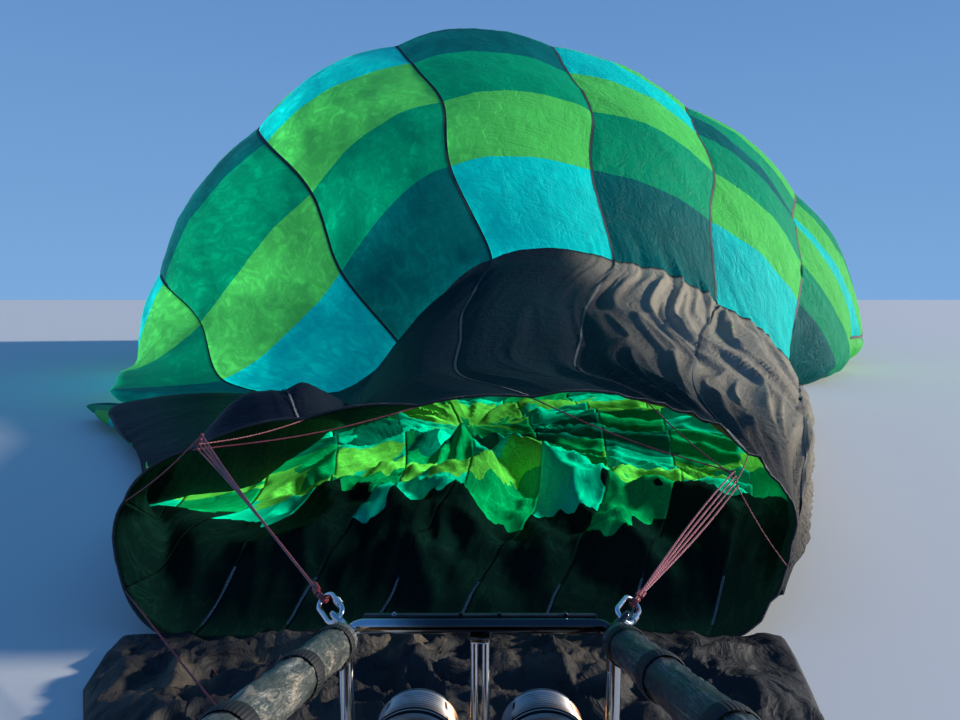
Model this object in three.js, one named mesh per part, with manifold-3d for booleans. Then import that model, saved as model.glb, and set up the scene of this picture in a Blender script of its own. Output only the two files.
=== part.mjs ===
// A hot air balloon laid out on the ground for cold inflation: the envelope is part filled with
// cold air and lies on its side, its mouth faces the burners, and the basket lies on its side
// behind them. Millimetres, Z up, Y from the basket to the crown. While it is being drawn, Y is
// zero at the basket's rim and X is zero on the basket's centre line; the last lines move the
// origin to the middle of the bounding box, at ground level.
import * as THREE from 'three';
import { mergeVertices } from 'three/addons/utils/BufferGeometryUtils.js';
import Module from 'manifold-3d';

const wasm = await Module();
wasm.setup();

// Clearances.
const SEAT = 0.3;
const HALF_SEAM = 0.35;

// Envelope: sixteen gores, seven of them over the top and nine bunched on the ground.
const GORES = 16;
const TOP_GORES = 7;
const SHELL = 10;
const LOBE = 0.045;
const ACROSS = 4;

// Crown: the round opening that the parachute valve closes.
const CROWN_Y = 23650;
const CROWN_X = 700;
const CROWN_Z = 2300;
const CROWN_R = 1750;
const CROWN_RING_R = 150;
const CROWN_TAPE = 50;
const VALVE_R = 1950;

// Burner frame, a square hoop of tube that stands in the XZ plane.
const FRAME_Y = 950;
const FRAME_Z = 425;
const FRAME_HALF = 310;
const FRAME_TUBE = 17;
const FRAME_BEND = 45;

// Basket, lying on its side with its rim in the plane Y = 0.
const BASKET_HALF = 490;
const BASKET_DEPTH = 1075;
const BASKET_WALL = 40;
const BASKET_CORNER = 170;
const RIM_R = 35;
const BASKET_Z = BASKET_HALF - BASKET_WALL / 2 + RIM_R;

// Burners.
const CAN_X = 152;
const CAN_R = 112;
const CAN_TIP_R = 101;
const CAN_WALL = 4;
const CAN_LENGTH = 140;
const BURNER_Z = FRAME_Z;
const POST_X = 13;
const POST_R = 9;

const group = new THREE.Group();

// Materials: colour, roughness, metalness.
const finish = (color, roughness, metalness) =>
  new THREE.MeshStandardMaterial({ color, roughness, metalness });
const FABRIC_TEAL = finish(0x0091a8, 0.55, 0);
const FABRIC_BLACK = finish(0x15202a, 0.6, 0);
const STEEL = finish(0xc9ccce, 0.2, 1);
const BRONZE = finish(0x8a6a4a, 0.4, 1);
const LEATHER = finish(0x4a3a2e, 0.7, 0);
const WICKER = finish(0xa9793f, 0.75, 0);
const WOOD = finish(0x8d6b45, 0.7, 0);
const CABLE = finish(0x6b2a38, 0.5, 0.2);
const TANK = finish(0xb9bcbf, 0.35, 0.9);

function add(name, geometry, material, at = [0, 0, 0]) {
  const mesh = new THREE.Mesh(geometry, material);
  mesh.name = name;
  mesh.position.set(...at);
  group.add(mesh);
  return mesh;
}

// Solid modelling helpers.
function solid(geometry) {
  const bare = geometry.clone();
  for (const key of ['normal', 'uv', 'color']) bare.deleteAttribute(key);
  const merged = mergeVertices(bare, 1e-3);
  return new wasm.Manifold(new wasm.Mesh({
    numProp: 3,
    vertProperties: new Float32Array(merged.attributes.position.array),
    triVerts: new Uint32Array(merged.index.array),
  }));
}

function surface(manifold) {
  const mesh = manifold.getMesh();
  const geometry = new THREE.BufferGeometry();
  geometry.setAttribute('position', new THREE.BufferAttribute(mesh.vertProperties, 3));
  geometry.setIndex(new THREE.BufferAttribute(mesh.triVerts, 1));
  return geometry;
}

const joined = (geometries) => surface(geometries.map(solid).reduce((a, b) => a.add(b)));
const cut = (geometry, tools) =>
  surface(tools.map(solid).reduce((a, b) => a.subtract(b), solid(geometry)));

function box(x0, x1, y0, y1, z0, z1) {
  const geometry = new THREE.BoxGeometry(x1 - x0, y1 - y0, z1 - z0);
  return geometry.translate((x0 + x1) / 2, (y0 + y1) / 2, (z0 + z1) / 2);
}

// A rod between two points; its second radius lets it taper.
function rod(from, to, radius, sides = 12, endRadius = radius) {
  const a = new THREE.Vector3(...from);
  const b = new THREE.Vector3(...to);
  const along = b.clone().sub(a);
  const geometry = new THREE.CylinderGeometry(endRadius, radius, along.length(), sides);
  geometry.applyQuaternion(new THREE.Quaternion().setFromUnitVectors(
    new THREE.Vector3(0, 1, 0), along.clone().normalize()));
  return geometry.translate((a.x + b.x) / 2, (a.y + b.y) / 2, (a.z + b.z) / 2);
}

// A lathe about an axis parallel to Y, from pairs of radius and Y.
function turned(profile, segments, x, z) {
  const points = profile.map(([r, y]) => new THREE.Vector2(r, y));
  return new THREE.LatheGeometry(points, segments).translate(x, 0, z);
}

const MOUTH_Y = 2350;

// Envelope sections from the mouth to the crown. Each is a low arch on a flat floor. Its columns:
// y of the section, x of its middle, half width, apex (how far the top lies to the right of the
// middle), top height, slack and power of the left slope, height of the left edge, ease of the
// right slope, height of the right edge, width of the rounded lower corners, tilt (how much
// farther back the right side lies) and the share of the girth that the top gores take.
const COLUMNS = ['y', 'x', 'half', 'apex', 'top', 'slack', 'power', 'left', 'ease', 'right', 'corner',
  'tilt', 'share'];
const SECTIONS = [
  [MOUTH_Y, -120, 1500, 620, 1020, 0.4, 2, 450, 0.5, 450, 350, 0, 0.52],
  [3900, -60, 2200, 310, 1020, 15, 4, 180, 0.6, 400, 450, 0, 0.56],
  [5500, 0, 2900, 350, 1120, 28, 4, 180, 0.7, 350, 450, 0.05, 0.58],
  [7100, 0, 3700, 500, 1400, 50, 4, 180, 0.8, 320, 450, 0.12, 0.59],
  [8400, 0, 4300, 800, 1750, 60, 4, 190, 0.8, 300, 450, 0.22, 0.6],
  [9150, 30, 4630, 970, 2030, 90, 4, 200, 0.8, 300, 450, 0.28, 0.6],
  [9850, 670, 5270, -70, 3370, 6.5, 3, 300, 0.78, 300, 450, 0.3, 0.61],
  [10850, 950, 5850, -350, 4500, 1.9, 2.5, 400, 0.75, 300, 500, 0.3, 0.61],
  [12150, 1200, 6400, -1000, 5450, 0.68, 2, 500, 0.7, 400, 600, 0.28, 0.61],
  [13650, 960, 7110, -1060, 6350, 0.68, 2, 800, 0.8, 400, 700, 0.12, 0.61],
  [16150, 850, 7650, -850, 6750, 0.6, 2, 1400, 0.62, 1200, 1400, 0, 0.6],
  [18600, 800, 7200, -600, 6600, 0.55, 2, 1700, 0.55, 1700, 1800, 0, 0.59],
  [20700, 750, 6200, -400, 6250, 0.52, 2, 1900, 0.52, 1900, 2200, 0, 0.56],
  [22200, 720, 4950, -200, 5750, 0.5, 2, 2000, 0.5, 2000, 2500, 0, 0.52],
  [23050, CROWN_X, 3800, 0, 5250, 0.5, 2, 2150, 0.5, 2150, 2700, 0, 0.48],
  [23520, CROWN_X, 2650, 0, 4750, 0.5, 2, 2300, 0.5, 2300, 2550, 0, 0.45],
  [CROWN_Y, CROWN_X, CROWN_R, 0, CROWN_Z + CROWN_R, 0.5, 2, CROWN_Z, 0.5, CROWN_Z, CROWN_R, 0,
    TOP_GORES / GORES],
].map((row) => ({ lean: 0, bottom: 0, ...Object.fromEntries(COLUMNS.map((name, i) => [name, row[i]])) }));
const LAST = SECTIONS.length - 1;
SECTIONS[0].lean = 300;
SECTIONS[LAST - 1].bottom = 90;
SECTIONS[LAST].bottom = CROWN_Z - CROWN_R;
const TILT_X = 700;

// One section as a fine outline from its top, towards +X and round, with its running length.
function outline(section) {
  const { half, apex, top, slack, power, left, ease, right, corner, bottom } = section;
  const steps = 64;
  const points = [];
  const stretch = (place) => {
    for (let i = 0; i <= steps; i++) {
      const angle = Math.PI / 2 * i / steps;
      points.push(place(Math.sin(angle), Math.cos(angle)));
    }
  };
  stretch((sin, cos) => [apex + (half - apex) * sin, right + (top - right) * cos ** (2 * ease)]);
  stretch((sin, cos) => [half - corner + corner * cos, right - (right - bottom) * sin]);
  stretch((sin, cos) => [corner - half - corner * sin, left - (left - bottom) * cos]);
  stretch((sin, cos) => [apex - (half + apex) * cos, left + (top - left) * (1 - cos ** power) ** slack]);
  const run = [0];
  for (let i = 1; i < points.length; i++) {
    const step = Math.hypot(points[i][0] - points[i - 1][0], points[i][1] - points[i - 1][1]);
    run.push(run[i - 1] + step);
  }
  return { points, run, length: run[run.length - 1] };
}
const OUTLINES = SECTIONS.map(outline);

// The fraction of the girth at a place counted in gores from the top, 0 to 16.
function girthShare(section, place) {
  const wrapped = ((place % GORES) + GORES) % GORES;
  const edge = TOP_GORES / 2;
  if (wrapped <= edge) return section.share * wrapped / TOP_GORES;
  if (wrapped >= GORES - edge) return 1 - section.share * (GORES - wrapped) / TOP_GORES;
  return section.share / 2 + (1 - section.share) * (wrapped - edge) / (GORES - TOP_GORES);
}

function skinPoint(row, place) {
  const section = SECTIONS[row];
  const { points, run, length } = OUTLINES[row];
  const target = girthShare(section, place) * length;
  let i = 1;
  while (i < run.length - 1 && run[i] < target) i++;
  const t = run[i] > run[i - 1] ? (target - run[i - 1]) / (run[i] - run[i - 1]) : 0;
  const x = points[i - 1][0] + (points[i][0] - points[i - 1][0]) * t;
  const z = points[i - 1][1] + (points[i][1] - points[i - 1][1]) * t;
  const back = section.lean * z / section.top + section.tilt * (section.x + x - TILT_X);
  return new THREE.Vector3(section.x + x, section.y + back, z);
}

const STEP = 0.05;
function skinNormal(row, place) {
  const before = skinPoint(Math.max(row - 1, 0), place);
  const after = skinPoint(Math.min(row + 1, LAST), place);
  const round = skinPoint(row, place + STEP).sub(skinPoint(row, place - STEP));
  const normal = round.cross(after.sub(before)).normalize();
  if (row === LAST) return new THREE.Vector3(0, 1, 0);
  const floor = skinPoint(row, place).z < 1;
  return floor ? new THREE.Vector3(0, 0, -1) : normal;
}

// A point of the shell: depth 0 is its outside, depth 1 its inside.
function shellPoint(row, centre, across, depth) {
  const place = centre - 0.5 + across;
  const point = skinPoint(row, place);
  const normal = skinNormal(row, place);
  const width = skinPoint(row, centre - 0.5).distanceTo(skinPoint(row, centre + 0.5));
  const lift = THREE.MathUtils.smoothstep(normal.z, -0.4, 0.1);
  const rise = row === LAST ? 0 : LOBE * width * 4 * across * (1 - across) * lift;
  point.addScaledVector(normal, rise - depth * SHELL);
  if (across === 0 || across === 1) {
    const round = skinPoint(row, place + STEP).sub(skinPoint(row, place - STEP)).normalize();
    point.addScaledVector(round, across === 0 ? HALF_SEAM : -HALF_SEAM);
  }
  return point;
}

// A gore is a strip of shell: a grid of outer points, one of inner points, and the four edges.
function gore(centre) {
  const rows = SECTIONS.length;
  const columns = ACROSS + 1;
  const positions = [];
  for (const depth of [0, 1]) {
    for (let row = 0; row < rows; row++) {
      for (let column = 0; column < columns; column++) {
        positions.push(...shellPoint(row, centre, column / ACROSS, depth).toArray());
      }
    }
  }
  const at = (depth, row, column) => (depth * rows + row) * columns + column;
  const index = [];
  const quad = (a, b, c, d) => index.push(a, b, c, a, c, d);
  for (let row = 0; row < rows - 1; row++) {
    for (let column = 0; column < ACROSS; column++) {
      const [next, over] = [row + 1, column + 1];
      quad(at(0, row, column), at(0, row, over), at(0, next, over), at(0, next, column));
      quad(at(1, row, column), at(1, next, column), at(1, next, over), at(1, row, over));
    }
    quad(at(0, row, 0), at(0, row + 1, 0), at(1, row + 1, 0), at(1, row, 0));
    quad(at(0, row, ACROSS), at(1, row, ACROSS), at(1, row + 1, ACROSS), at(0, row + 1, ACROSS));
  }
  for (let column = 0; column < ACROSS; column++) {
    quad(at(0, 0, column), at(1, 0, column), at(1, 0, column + 1), at(0, 0, column + 1));
    const end = rows - 1;
    quad(at(0, end, column), at(0, end, column + 1), at(1, end, column + 1), at(1, end, column));
  }
  const geometry = new THREE.BufferGeometry();
  geometry.setAttribute('position', new THREE.BufferAttribute(new Float32Array(positions), 3));
  geometry.setIndex(index);
  return geometry;
}

for (let i = 0; i < GORES; i++) {
  const name = `gore_${String(i + 1).padStart(2, '0')}`;
  add(name, gore(i), FABRIC_TEAL);
}

// Crown ring with the sixteen tapes that cross the opening.
const tapeY = [CROWN_Y - SHELL, CROWN_Y];
const crownPieces = [];
const ringProfile = [
  [CROWN_RING_R - 12, tapeY[0]], [CROWN_RING_R + 12, tapeY[0]],
  [CROWN_RING_R + 12, tapeY[1]], [CROWN_RING_R - 12, tapeY[1]], [CROWN_RING_R - 12, tapeY[0]],
];
crownPieces.push(turned(ringProfile, 32, CROWN_X, CROWN_Z));
for (let i = 0; i < GORES; i++) {
  const strip = box(-CROWN_TAPE / 2, CROWN_TAPE / 2, tapeY[0], tapeY[1], CROWN_RING_R, CROWN_R - 5 * SEAT);
  strip.rotateY((i + 0.5) * 2 * Math.PI / GORES).translate(CROWN_X, 0, CROWN_Z);
  crownPieces.push(strip);
}
add('crown_ring', joined(crownPieces), STEEL);

// Parachute valve: a shallow fabric dish that seats on the inside of the crown opening.
const VALVE_SEAT_Y = CROWN_Y - SHELL - 5;
const VALVE_EDGE_Y = CROWN_Y - SHELL - 56.5;
add('parachute_valve', turned([
  [0, VALVE_SEAT_Y - SHELL], [CROWN_R - 20, VALVE_SEAT_Y - SHELL], [VALVE_R, VALVE_EDGE_Y - SHELL],
  [VALVE_R, VALVE_EDGE_Y], [CROWN_R - 20, VALVE_SEAT_Y], [0, VALVE_SEAT_Y],
], 32, CROWN_X, CROWN_Z), FABRIC_BLACK);

// Scoop: the fire-resistant cloth that lies on the ground from the lower lip to the frame.
const SCOOP_ROWS = [
  { y: MOUTH_Y - SEAT, from: -1560, to: 1320, thick: 8, high: 0 },
  { y: 2200, from: -1550, to: 1300, thick: 8, high: 3 },
  { y: 1950, from: -1500, to: 1250, thick: 9, high: 16 },
  { y: 1500, from: -1250, to: 1150, thick: 14, high: 46 },
  { y: 1050, from: -1050, to: 1000, thick: 14, high: 34 },
];
function scoop() {
  const positions = [];
  const count = 12;
  for (const level of [0, 1]) {
    SCOOP_ROWS.forEach((row, r) => {
      for (let i = 0; i <= count; i++) {
        const t = i / count;
        const edge = Math.sin(Math.PI * t);
        const wave = 0.55 + 0.45 * Math.cos(i * 2.1 + r * 1.3);
        const z = level ? row.thick + row.high * edge * wave : 0;
        positions.push(row.from + (row.to - row.from) * t, row.y, z);
      }
    });
  }
  const columns = count + 1;
  const rows = SCOOP_ROWS.length;
  const at = (level, r, i) => (level * rows + r) * columns + i;
  const index = [];
  const quad = (a, b, c, d) => index.push(a, b, c, a, c, d);
  for (let r = 0; r < rows - 1; r++) {
    for (let i = 0; i < count; i++) {
      quad(at(0, r, i), at(0, r, i + 1), at(0, r + 1, i + 1), at(0, r + 1, i));
      quad(at(1, r, i), at(1, r + 1, i), at(1, r + 1, i + 1), at(1, r, i + 1));
    }
    quad(at(0, r, 0), at(0, r + 1, 0), at(1, r + 1, 0), at(1, r, 0));
    quad(at(0, r, count), at(1, r, count), at(1, r + 1, count), at(0, r + 1, count));
  }
  for (let i = 0; i < count; i++) {
    quad(at(0, 0, i), at(1, 0, i), at(1, 0, i + 1), at(0, 0, i + 1));
    quad(at(0, rows - 1, i), at(0, rows - 1, i + 1), at(1, rows - 1, i + 1), at(1, rows - 1, i));
  }
  const geometry = new THREE.BufferGeometry();
  geometry.setAttribute('position', new THREE.BufferAttribute(new Float32Array(positions), 3));
  geometry.setIndex(index);
  return geometry;
}
add('scoop', scoop(), FABRIC_BLACK);

// Burner frame: the hoop, an eye and a pole socket at each corner, and two pivot bosses.
// A closed hoop: a ring of sections at the given centre points, all in one XZ plane.
function hoop(half, bend, y, z, radiusOut, radiusAlong, sides, steps = 5) {
  const corners = [[1, 1], [-1, 1], [-1, -1], [1, -1]];
  const flat = half - bend;
  const centres = [];
  for (const [sx, sz] of corners) {
    const start = Math.atan2(sz, sx) - Math.PI / 4;
    for (let k = 0; k <= steps; k++) {
      const a = start + Math.PI / 2 * k / steps;
      centres.push({ x: sx * flat, z: sz * flat, dx: Math.cos(a), dz: Math.sin(a) });
    }
  }
  const positions = [];
  for (const c of centres) {
    for (let i = 0; i < sides; i++) {
      const a = 2 * Math.PI * i / sides;
      const out = bend + radiusOut * Math.cos(a);
      positions.push(c.x + c.dx * out, y + radiusAlong * Math.sin(a), z + c.z + c.dz * out);
    }
  }
  const index = [];
  for (let c = 0; c < centres.length; c++) {
    const n = (c + 1) % centres.length;
    for (let i = 0; i < sides; i++) {
      const j = (i + 1) % sides;
      index.push(c * sides + i, n * sides + j, n * sides + i);
      index.push(c * sides + i, c * sides + j, n * sides + j);
    }
  }
  const geometry = new THREE.BufferGeometry();
  geometry.setAttribute('position', new THREE.BufferAttribute(new Float32Array(positions), 3));
  geometry.setIndex(index);
  return geometry;
}

// The corners of the frame: the first of the four tapes that its wires hold, and the point in
// front of the mouth where those wires gather.
const CORNERS = [
  { name: 'upper_left', sx: -1, sz: 1, first: -4.5, gather: [-1134, 2250, 924] },
  { name: 'upper_right', sx: 1, sz: 1, first: -0.5, gather: [1038, 2250, 770] },
  { name: 'lower_right', sx: 1, sz: -1, first: 3.5, gather: [700, 2200, 34] },
  { name: 'lower_left', sx: -1, sz: -1, first: -8.5, gather: [-900, 2200, 34] },
];
const EYE_R = 22;
const EYE_TUBE = 7;
const cornerPoint = (corner, reach = FRAME_HALF - FRAME_BEND * 0.3) =>
  [corner.sx * reach, FRAME_Y, FRAME_Z + corner.sz * reach];
const rimPoint = (corner) => {
  const reach = BASKET_HALF - BASKET_WALL / 2 - BASKET_CORNER * 0.3;
  return [corner.sx * reach, 0, BASKET_Z + corner.sz * reach];
};
const lerp = (a, b, t) => a.map((v, i) => v + (b[i] - v) * t);
const SOCKET = 0.06;

// The rigging of a corner lies along the pull of its wires: Y is the pull, X is across the eye,
// and the origin is the eye's centre, which stands off the corner along its diagonal.
function riggingFrame(corner) {
  const reach = (FRAME_TUBE + EYE_R) * Math.SQRT1_2;
  const outward = new THREE.Vector3(corner.sx, 0, corner.sz).normalize();
  const origin = new THREE.Vector3(...cornerPoint(corner)).add(
    new THREE.Vector3(corner.sx * reach, 0, corner.sz * reach));
  const pull = new THREE.Vector3(...corner.gather).sub(origin).normalize();
  const across = pull.clone().cross(outward).normalize();
  const up = across.clone().cross(pull);
  return new THREE.Matrix4().makeBasis(across, pull, up).setPosition(origin);
}
function eye(corner) {
  return new THREE.TorusGeometry(EYE_R, EYE_TUBE, 6, 14).rotateY(Math.PI / 2)
    .applyMatrix4(riggingFrame(corner));
}
const PIVOT_R = 16;
const PIVOT_HALF = 26;
const framePieces = [hoop(FRAME_HALF, FRAME_BEND, FRAME_Y, FRAME_Z, FRAME_TUBE, FRAME_TUBE, 12)];
for (const corner of CORNERS) {
  framePieces.push(eye(corner));
  framePieces.push(rod(cornerPoint(corner), lerp(cornerPoint(corner), rimPoint(corner), SOCKET), 16));
}
for (const sign of [1, -1]) {
  const z = FRAME_Z + sign * FRAME_HALF;
  framePieces.push(box(-PIVOT_HALF, PIVOT_HALF, FRAME_Y - PIVOT_R, FRAME_Y + PIVOT_R,
    Math.min(z, z - sign * PIVOT_HALF), Math.max(z, z - sign * PIVOT_HALF)));
}
add('burner_frame', joined(framePieces), STEEL);

// Black rail along the far side of the upper tube, which the scoop's clips hold.
const RAIL = { half: 272, deep: 14, low: -6, high: 18 };
const RAIL_Y = FRAME_Y + FRAME_TUBE + SEAT;
add('scoop_rail', box(-RAIL.half, RAIL.half, RAIL_Y, RAIL_Y + RAIL.deep,
  FRAME_Z + FRAME_HALF + RAIL.low, FRAME_Z + FRAME_HALF + RAIL.high), FABRIC_BLACK);

// Padded uprights between the frame's sockets and the basket's rim.
const SLEEVE_R = 42;
const rimGeometry = (grow) => hoop(BASKET_HALF - BASKET_WALL / 2, BASKET_CORNER - BASKET_WALL / 2, 0,
  BASKET_Z, RIM_R - SEAT + grow, RIM_R - SEAT + grow, 12, 5);
for (const corner of CORNERS) {
  const top = lerp(cornerPoint(corner), rimPoint(corner), SOCKET);
  const bottom = rimPoint(corner);
  const length = Math.hypot(...top.map((v, i) => v - bottom[i]));
  const start = lerp(top, bottom, SEAT / length);
  const sleeve = rod(bottom, start, SLEEVE_R + 4, 16, SLEEVE_R);
  add(`upright_${corner.name}`, cut(sleeve, [rimGeometry(SEAT)]), LEATHER);
}

// Carabiners, each linked through an eye of the frame, with a cable's thimble at its far end.
const LINK_TUBE = 6;
const LINK_HALF = 22;
const LINK_LENGTH = 100;
const THIMBLE_R = 14;
const THIMBLE_TUBE = 5;
const LINK_GAP = 0.6;
const linkNear = EYE_R - EYE_TUBE - LINK_GAP - LINK_TUBE;
const linkFar = linkNear + LINK_LENGTH;
class LinkCurve extends THREE.Curve {
  getPoint(t, target = new THREE.Vector3()) {
    const a = 2 * Math.PI * t;
    const straight = (linkFar - linkNear) / 2 - LINK_HALF;
    const side = Math.sin(a);
    const y = (linkNear + linkFar) / 2 + Math.sign(side) * straight + LINK_HALF * side;
    return target.set(LINK_HALF * Math.cos(a), y, 0);
  }
}

const CABLE_R = 4;
const CABLE_STEP = 16;
const KNOT_R = 6;
const TIP = 80;
const LIP_HOLD = 30;
const TIP_R = 0.6;
const TIP_GAP = 2;
for (const corner of CORNERS) {
  const frame = riggingFrame(corner);
  const link = new THREE.TubeGeometry(new LinkCurve(), 20, LINK_TUBE, 6, true).applyMatrix4(frame);
  add(`carabiner_${corner.name}`, link, STEEL);
  const thimbleY = linkFar - LINK_TUBE - LINK_GAP - THIMBLE_TUBE + THIMBLE_R;
  const thimble = new THREE.TorusGeometry(THIMBLE_R, THIMBLE_TUBE, 6, 12).rotateY(Math.PI / 2);
  const pieces = [thimble.translate(0, thimbleY, 0).applyMatrix4(frame)];
  const root = new THREE.Vector3(0, thimbleY + THIMBLE_R, 0).applyMatrix4(frame).toArray();
  for (let i = 0; i < 4; i++) {
    const place = corner.first + i;
    const outer = shellPoint(0, place + 0.5, 0, 0);
    const inner = shellPoint(0, place + 0.5, 0, 1);
    const upper = corner.sz > 0;
    const onFloor = outer.z < SHELL;
    const lip = onFloor ? inner.add(new THREE.Vector3(0, LIP_HOLD, TIP_R + SEAT)).toArray()
      : outer.add(inner).multiplyScalar(0.5).toArray();
    const [gx, gy, gz] = corner.gather;
    const turn = upper ? [gx, gy - CABLE_STEP * i, gz - CABLE_STEP * i] : root;
    if (upper) {
      pieces.push(rod(root, turn, CABLE_R - 0.4, 6));
      pieces.push(new THREE.SphereGeometry(KNOT_R, 8, 6).translate(...turn));
    }
    const length = Math.hypot(...lip.map((v, k) => v - turn[k]));
    const apex = lerp(turn, lip, 1 - (onFloor ? SEAT + TIP_R : TIP_GAP) / length);
    const neck = lerp(turn, lip, 1 - TIP / length);
    pieces.push(rod(turn, lerp(neck, lip, 0.2 * TIP / length), CABLE_R - 0.4, 6));
    pieces.push(rod(neck, apex, CABLE_R, 6, TIP_R));
  }
  add(`cables_${corner.name}`, joined(pieces), CABLE);
}

// Gimbal: two parallel posts on pivots in the frame's upper and lower tubes.
const POST_END = FRAME_HALF - PIVOT_HALF - SEAT;
const HUB = { half: 24, deep: 18, high: 30 };
const FOOT = { half: 22, deep: 12, high: 12 };
const postPieces = [];
for (const sign of [-1, 1]) {
  postPieces.push(rod([sign * POST_X, FRAME_Y, FRAME_Z - POST_END + 6],
    [sign * POST_X, FRAME_Y, FRAME_Z + POST_END - 6], POST_R, 12));
  const z = FRAME_Z + sign * POST_END;
  postPieces.push(box(-FOOT.half, FOOT.half, FRAME_Y - FOOT.deep, FRAME_Y + FOOT.deep,
    Math.min(z, z - sign * FOOT.high), Math.max(z, z - sign * FOOT.high)));
}
postPieces.push(box(-HUB.half, HUB.half, FRAME_Y - HUB.deep, FRAME_Y + HUB.deep,
  BURNER_Z - HUB.high, BURNER_Z + HUB.high));
add('gimbal_posts', joined(postPieces), STEEL);

// Burners: valve blocks on a yoke, cans with their coils.
const BLOCK = { half: 45, near: FRAME_Y - 130, far: FRAME_Y - 40, high: 45 };
const YOKE_Y = FRAME_Y - 85;
const CAN_NEAR = BLOCK.far + SEAT;
const CAN_FAR = CAN_NEAR + CAN_LENGTH;
const COIL = { r: 74, tube: 6, y: CAN_NEAR + 45, step: 24, turns: 3, foot: 28, lift: 4.3 };
const yokePieces = [box(-CAN_X + BLOCK.half + SEAT, CAN_X - BLOCK.half - SEAT,
  YOKE_Y - 14, YOKE_Y + 14, BURNER_Z - 14, BURNER_Z + 14)];
for (const sign of [-1, 1]) {
  const inner = sign * (HUB.half + SEAT);
  const outer = sign * (HUB.half + 6);
  yokePieces.push(box(Math.min(inner, outer), Math.max(inner, outer), YOKE_Y, FRAME_Y + 12,
    BURNER_Z - 14, BURNER_Z + 14));
}
add('burner_yoke', joined(yokePieces), STEEL);

for (const { name, sign } of [{ name: 'left', sign: -1 }, { name: 'right', sign: 1 }]) {
  const x = sign * CAN_X;
  add(`valve_block_${name}`, box(x - BLOCK.half, x + BLOCK.half, BLOCK.near, BLOCK.far,
    BURNER_Z - BLOCK.high, BURNER_Z + BLOCK.high), BRONZE);
  add(`blast_lever_${name}`, joined([
    rod([x, BLOCK.near - SEAT, BURNER_Z], [x, BLOCK.near - 30, BURNER_Z], 9),
    box(x - 12, x + 12, BLOCK.near - 130, BLOCK.near - 20, BURNER_Z - 6, BURNER_Z + 6),
  ]), STEEL);
  add(`burner_can_${name}`, turned([
    [0, CAN_NEAR], [40, CAN_NEAR], [CAN_R, CAN_NEAR + 20], [CAN_R, CAN_NEAR + 50], [CAN_TIP_R, CAN_FAR],
    [CAN_TIP_R - CAN_WALL, CAN_FAR], [CAN_R - CAN_WALL, CAN_NEAR + 50], [CAN_R - CAN_WALL, CAN_NEAR + 24],
    [40, CAN_NEAR + CAN_WALL], [0, CAN_NEAR + CAN_WALL],
  ], 32, x, BURNER_Z), BRONZE);
  const coil = [];
  for (let i = 0; i < COIL.turns; i++) {
    coil.push(new THREE.TorusGeometry(COIL.r, COIL.tube, 6, 20).rotateX(Math.PI / 2)
      .translate(x, COIL.y + i * COIL.step, BURNER_Z));
  }
  for (const side of [-1, 1]) {
    const foot = [x + side * COIL.foot, CAN_NEAR + CAN_WALL + COIL.lift, BURNER_Z];
    const bend = [x + side * COIL.r, COIL.y, BURNER_Z];
    coil.push(rod(foot, lerp(foot, bend, 1.02), COIL.tube - 1, 8));
    coil.push(rod(bend, [bend[0], COIL.y + (COIL.turns - 1) * COIL.step, BURNER_Z], COIL.tube - 1, 8));
  }
  add(`burner_coil_${name}`, joined(coil), BRONZE);
}

// Basket: four wicker walls that meet at the corners' middles, floor, padded rim and band.
function wallGeometry(turn) {
  const outer = BASKET_CORNER;
  const inner = BASKET_CORNER - BASKET_WALL;
  const flat = BASKET_HALF - BASKET_CORNER;
  const shape = new THREE.Shape();
  const steps = 4;
  const points = [];
  for (let i = 0; i <= steps; i++) {
    const a = Math.PI / 4 + Math.PI / 4 * i / steps;
    points.push([flat + outer * Math.cos(a), flat + outer * Math.sin(a)]);
  }
  const mirrored = points.map(([px, pz]) => [-px, pz]).reverse();
  const back = [];
  for (let i = 0; i <= steps; i++) {
    const a = Math.PI / 2 + Math.PI / 4 * i / steps;
    back.push([-flat + inner * Math.cos(a), flat + inner * Math.sin(a)]);
  }
  const backMirrored = back.map(([px, pz]) => [-px, pz]).reverse();
  const all = [...points, ...mirrored, ...back.reverse(), ...backMirrored.reverse()];
  const shrink = all.map(([px, pz]) => {
    const atEnd = Math.abs(Math.abs(px) - pz) < 1e-6;
    return atEnd ? [px - Math.sign(px) * SEAT, pz] : [px, pz];
  });
  shrink.forEach(([px, pz], i) => (i ? shape.lineTo(px, pz) : shape.moveTo(px, pz)));
  shape.closePath();
  const length = BASKET_DEPTH - RIM_R;
  const geometry = new THREE.ExtrudeGeometry(shape, { depth: length, bevelEnabled: false });
  geometry.rotateX(Math.PI / 2);
  geometry.translate(0, -RIM_R, 0);
  geometry.rotateY(turn);
  return geometry.translate(0, 0, BASKET_Z);
}
const WALLS = ['upper', 'right', 'ground', 'left'];
WALLS.forEach((name, i) => add(`basket_wall_${name}`, wallGeometry(i * Math.PI / 2), WICKER));
add('basket_rim', rimGeometry(0), LEATHER);

function plate(half, corner, y0, y1) {
  const shape = new THREE.Shape();
  const flat = half - corner;
  shape.absarc(flat, flat, corner, 0, Math.PI / 2, false);
  shape.absarc(-flat, flat, corner, Math.PI / 2, Math.PI, false);
  shape.absarc(-flat, -flat, corner, Math.PI, 1.5 * Math.PI, false);
  shape.absarc(flat, -flat, corner, 1.5 * Math.PI, 2 * Math.PI, false);
  const geometry = new THREE.ExtrudeGeometry(shape, { depth: y1 - y0, bevelEnabled: false, curveSegments: 4 });
  return geometry.rotateX(Math.PI / 2).translate(0, y1, BASKET_Z);
}
const FLOOR_THICK = 24;
const FLOOR_FAR = -BASKET_DEPTH - SEAT;
const FLOOR_NEAR = FLOOR_FAR - FLOOR_THICK;
add('basket_floor', plate(BASKET_HALF, BASKET_CORNER, FLOOR_NEAR, FLOOR_FAR), WOOD);
const BAND = { thick: 6, high: 170 };
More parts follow.
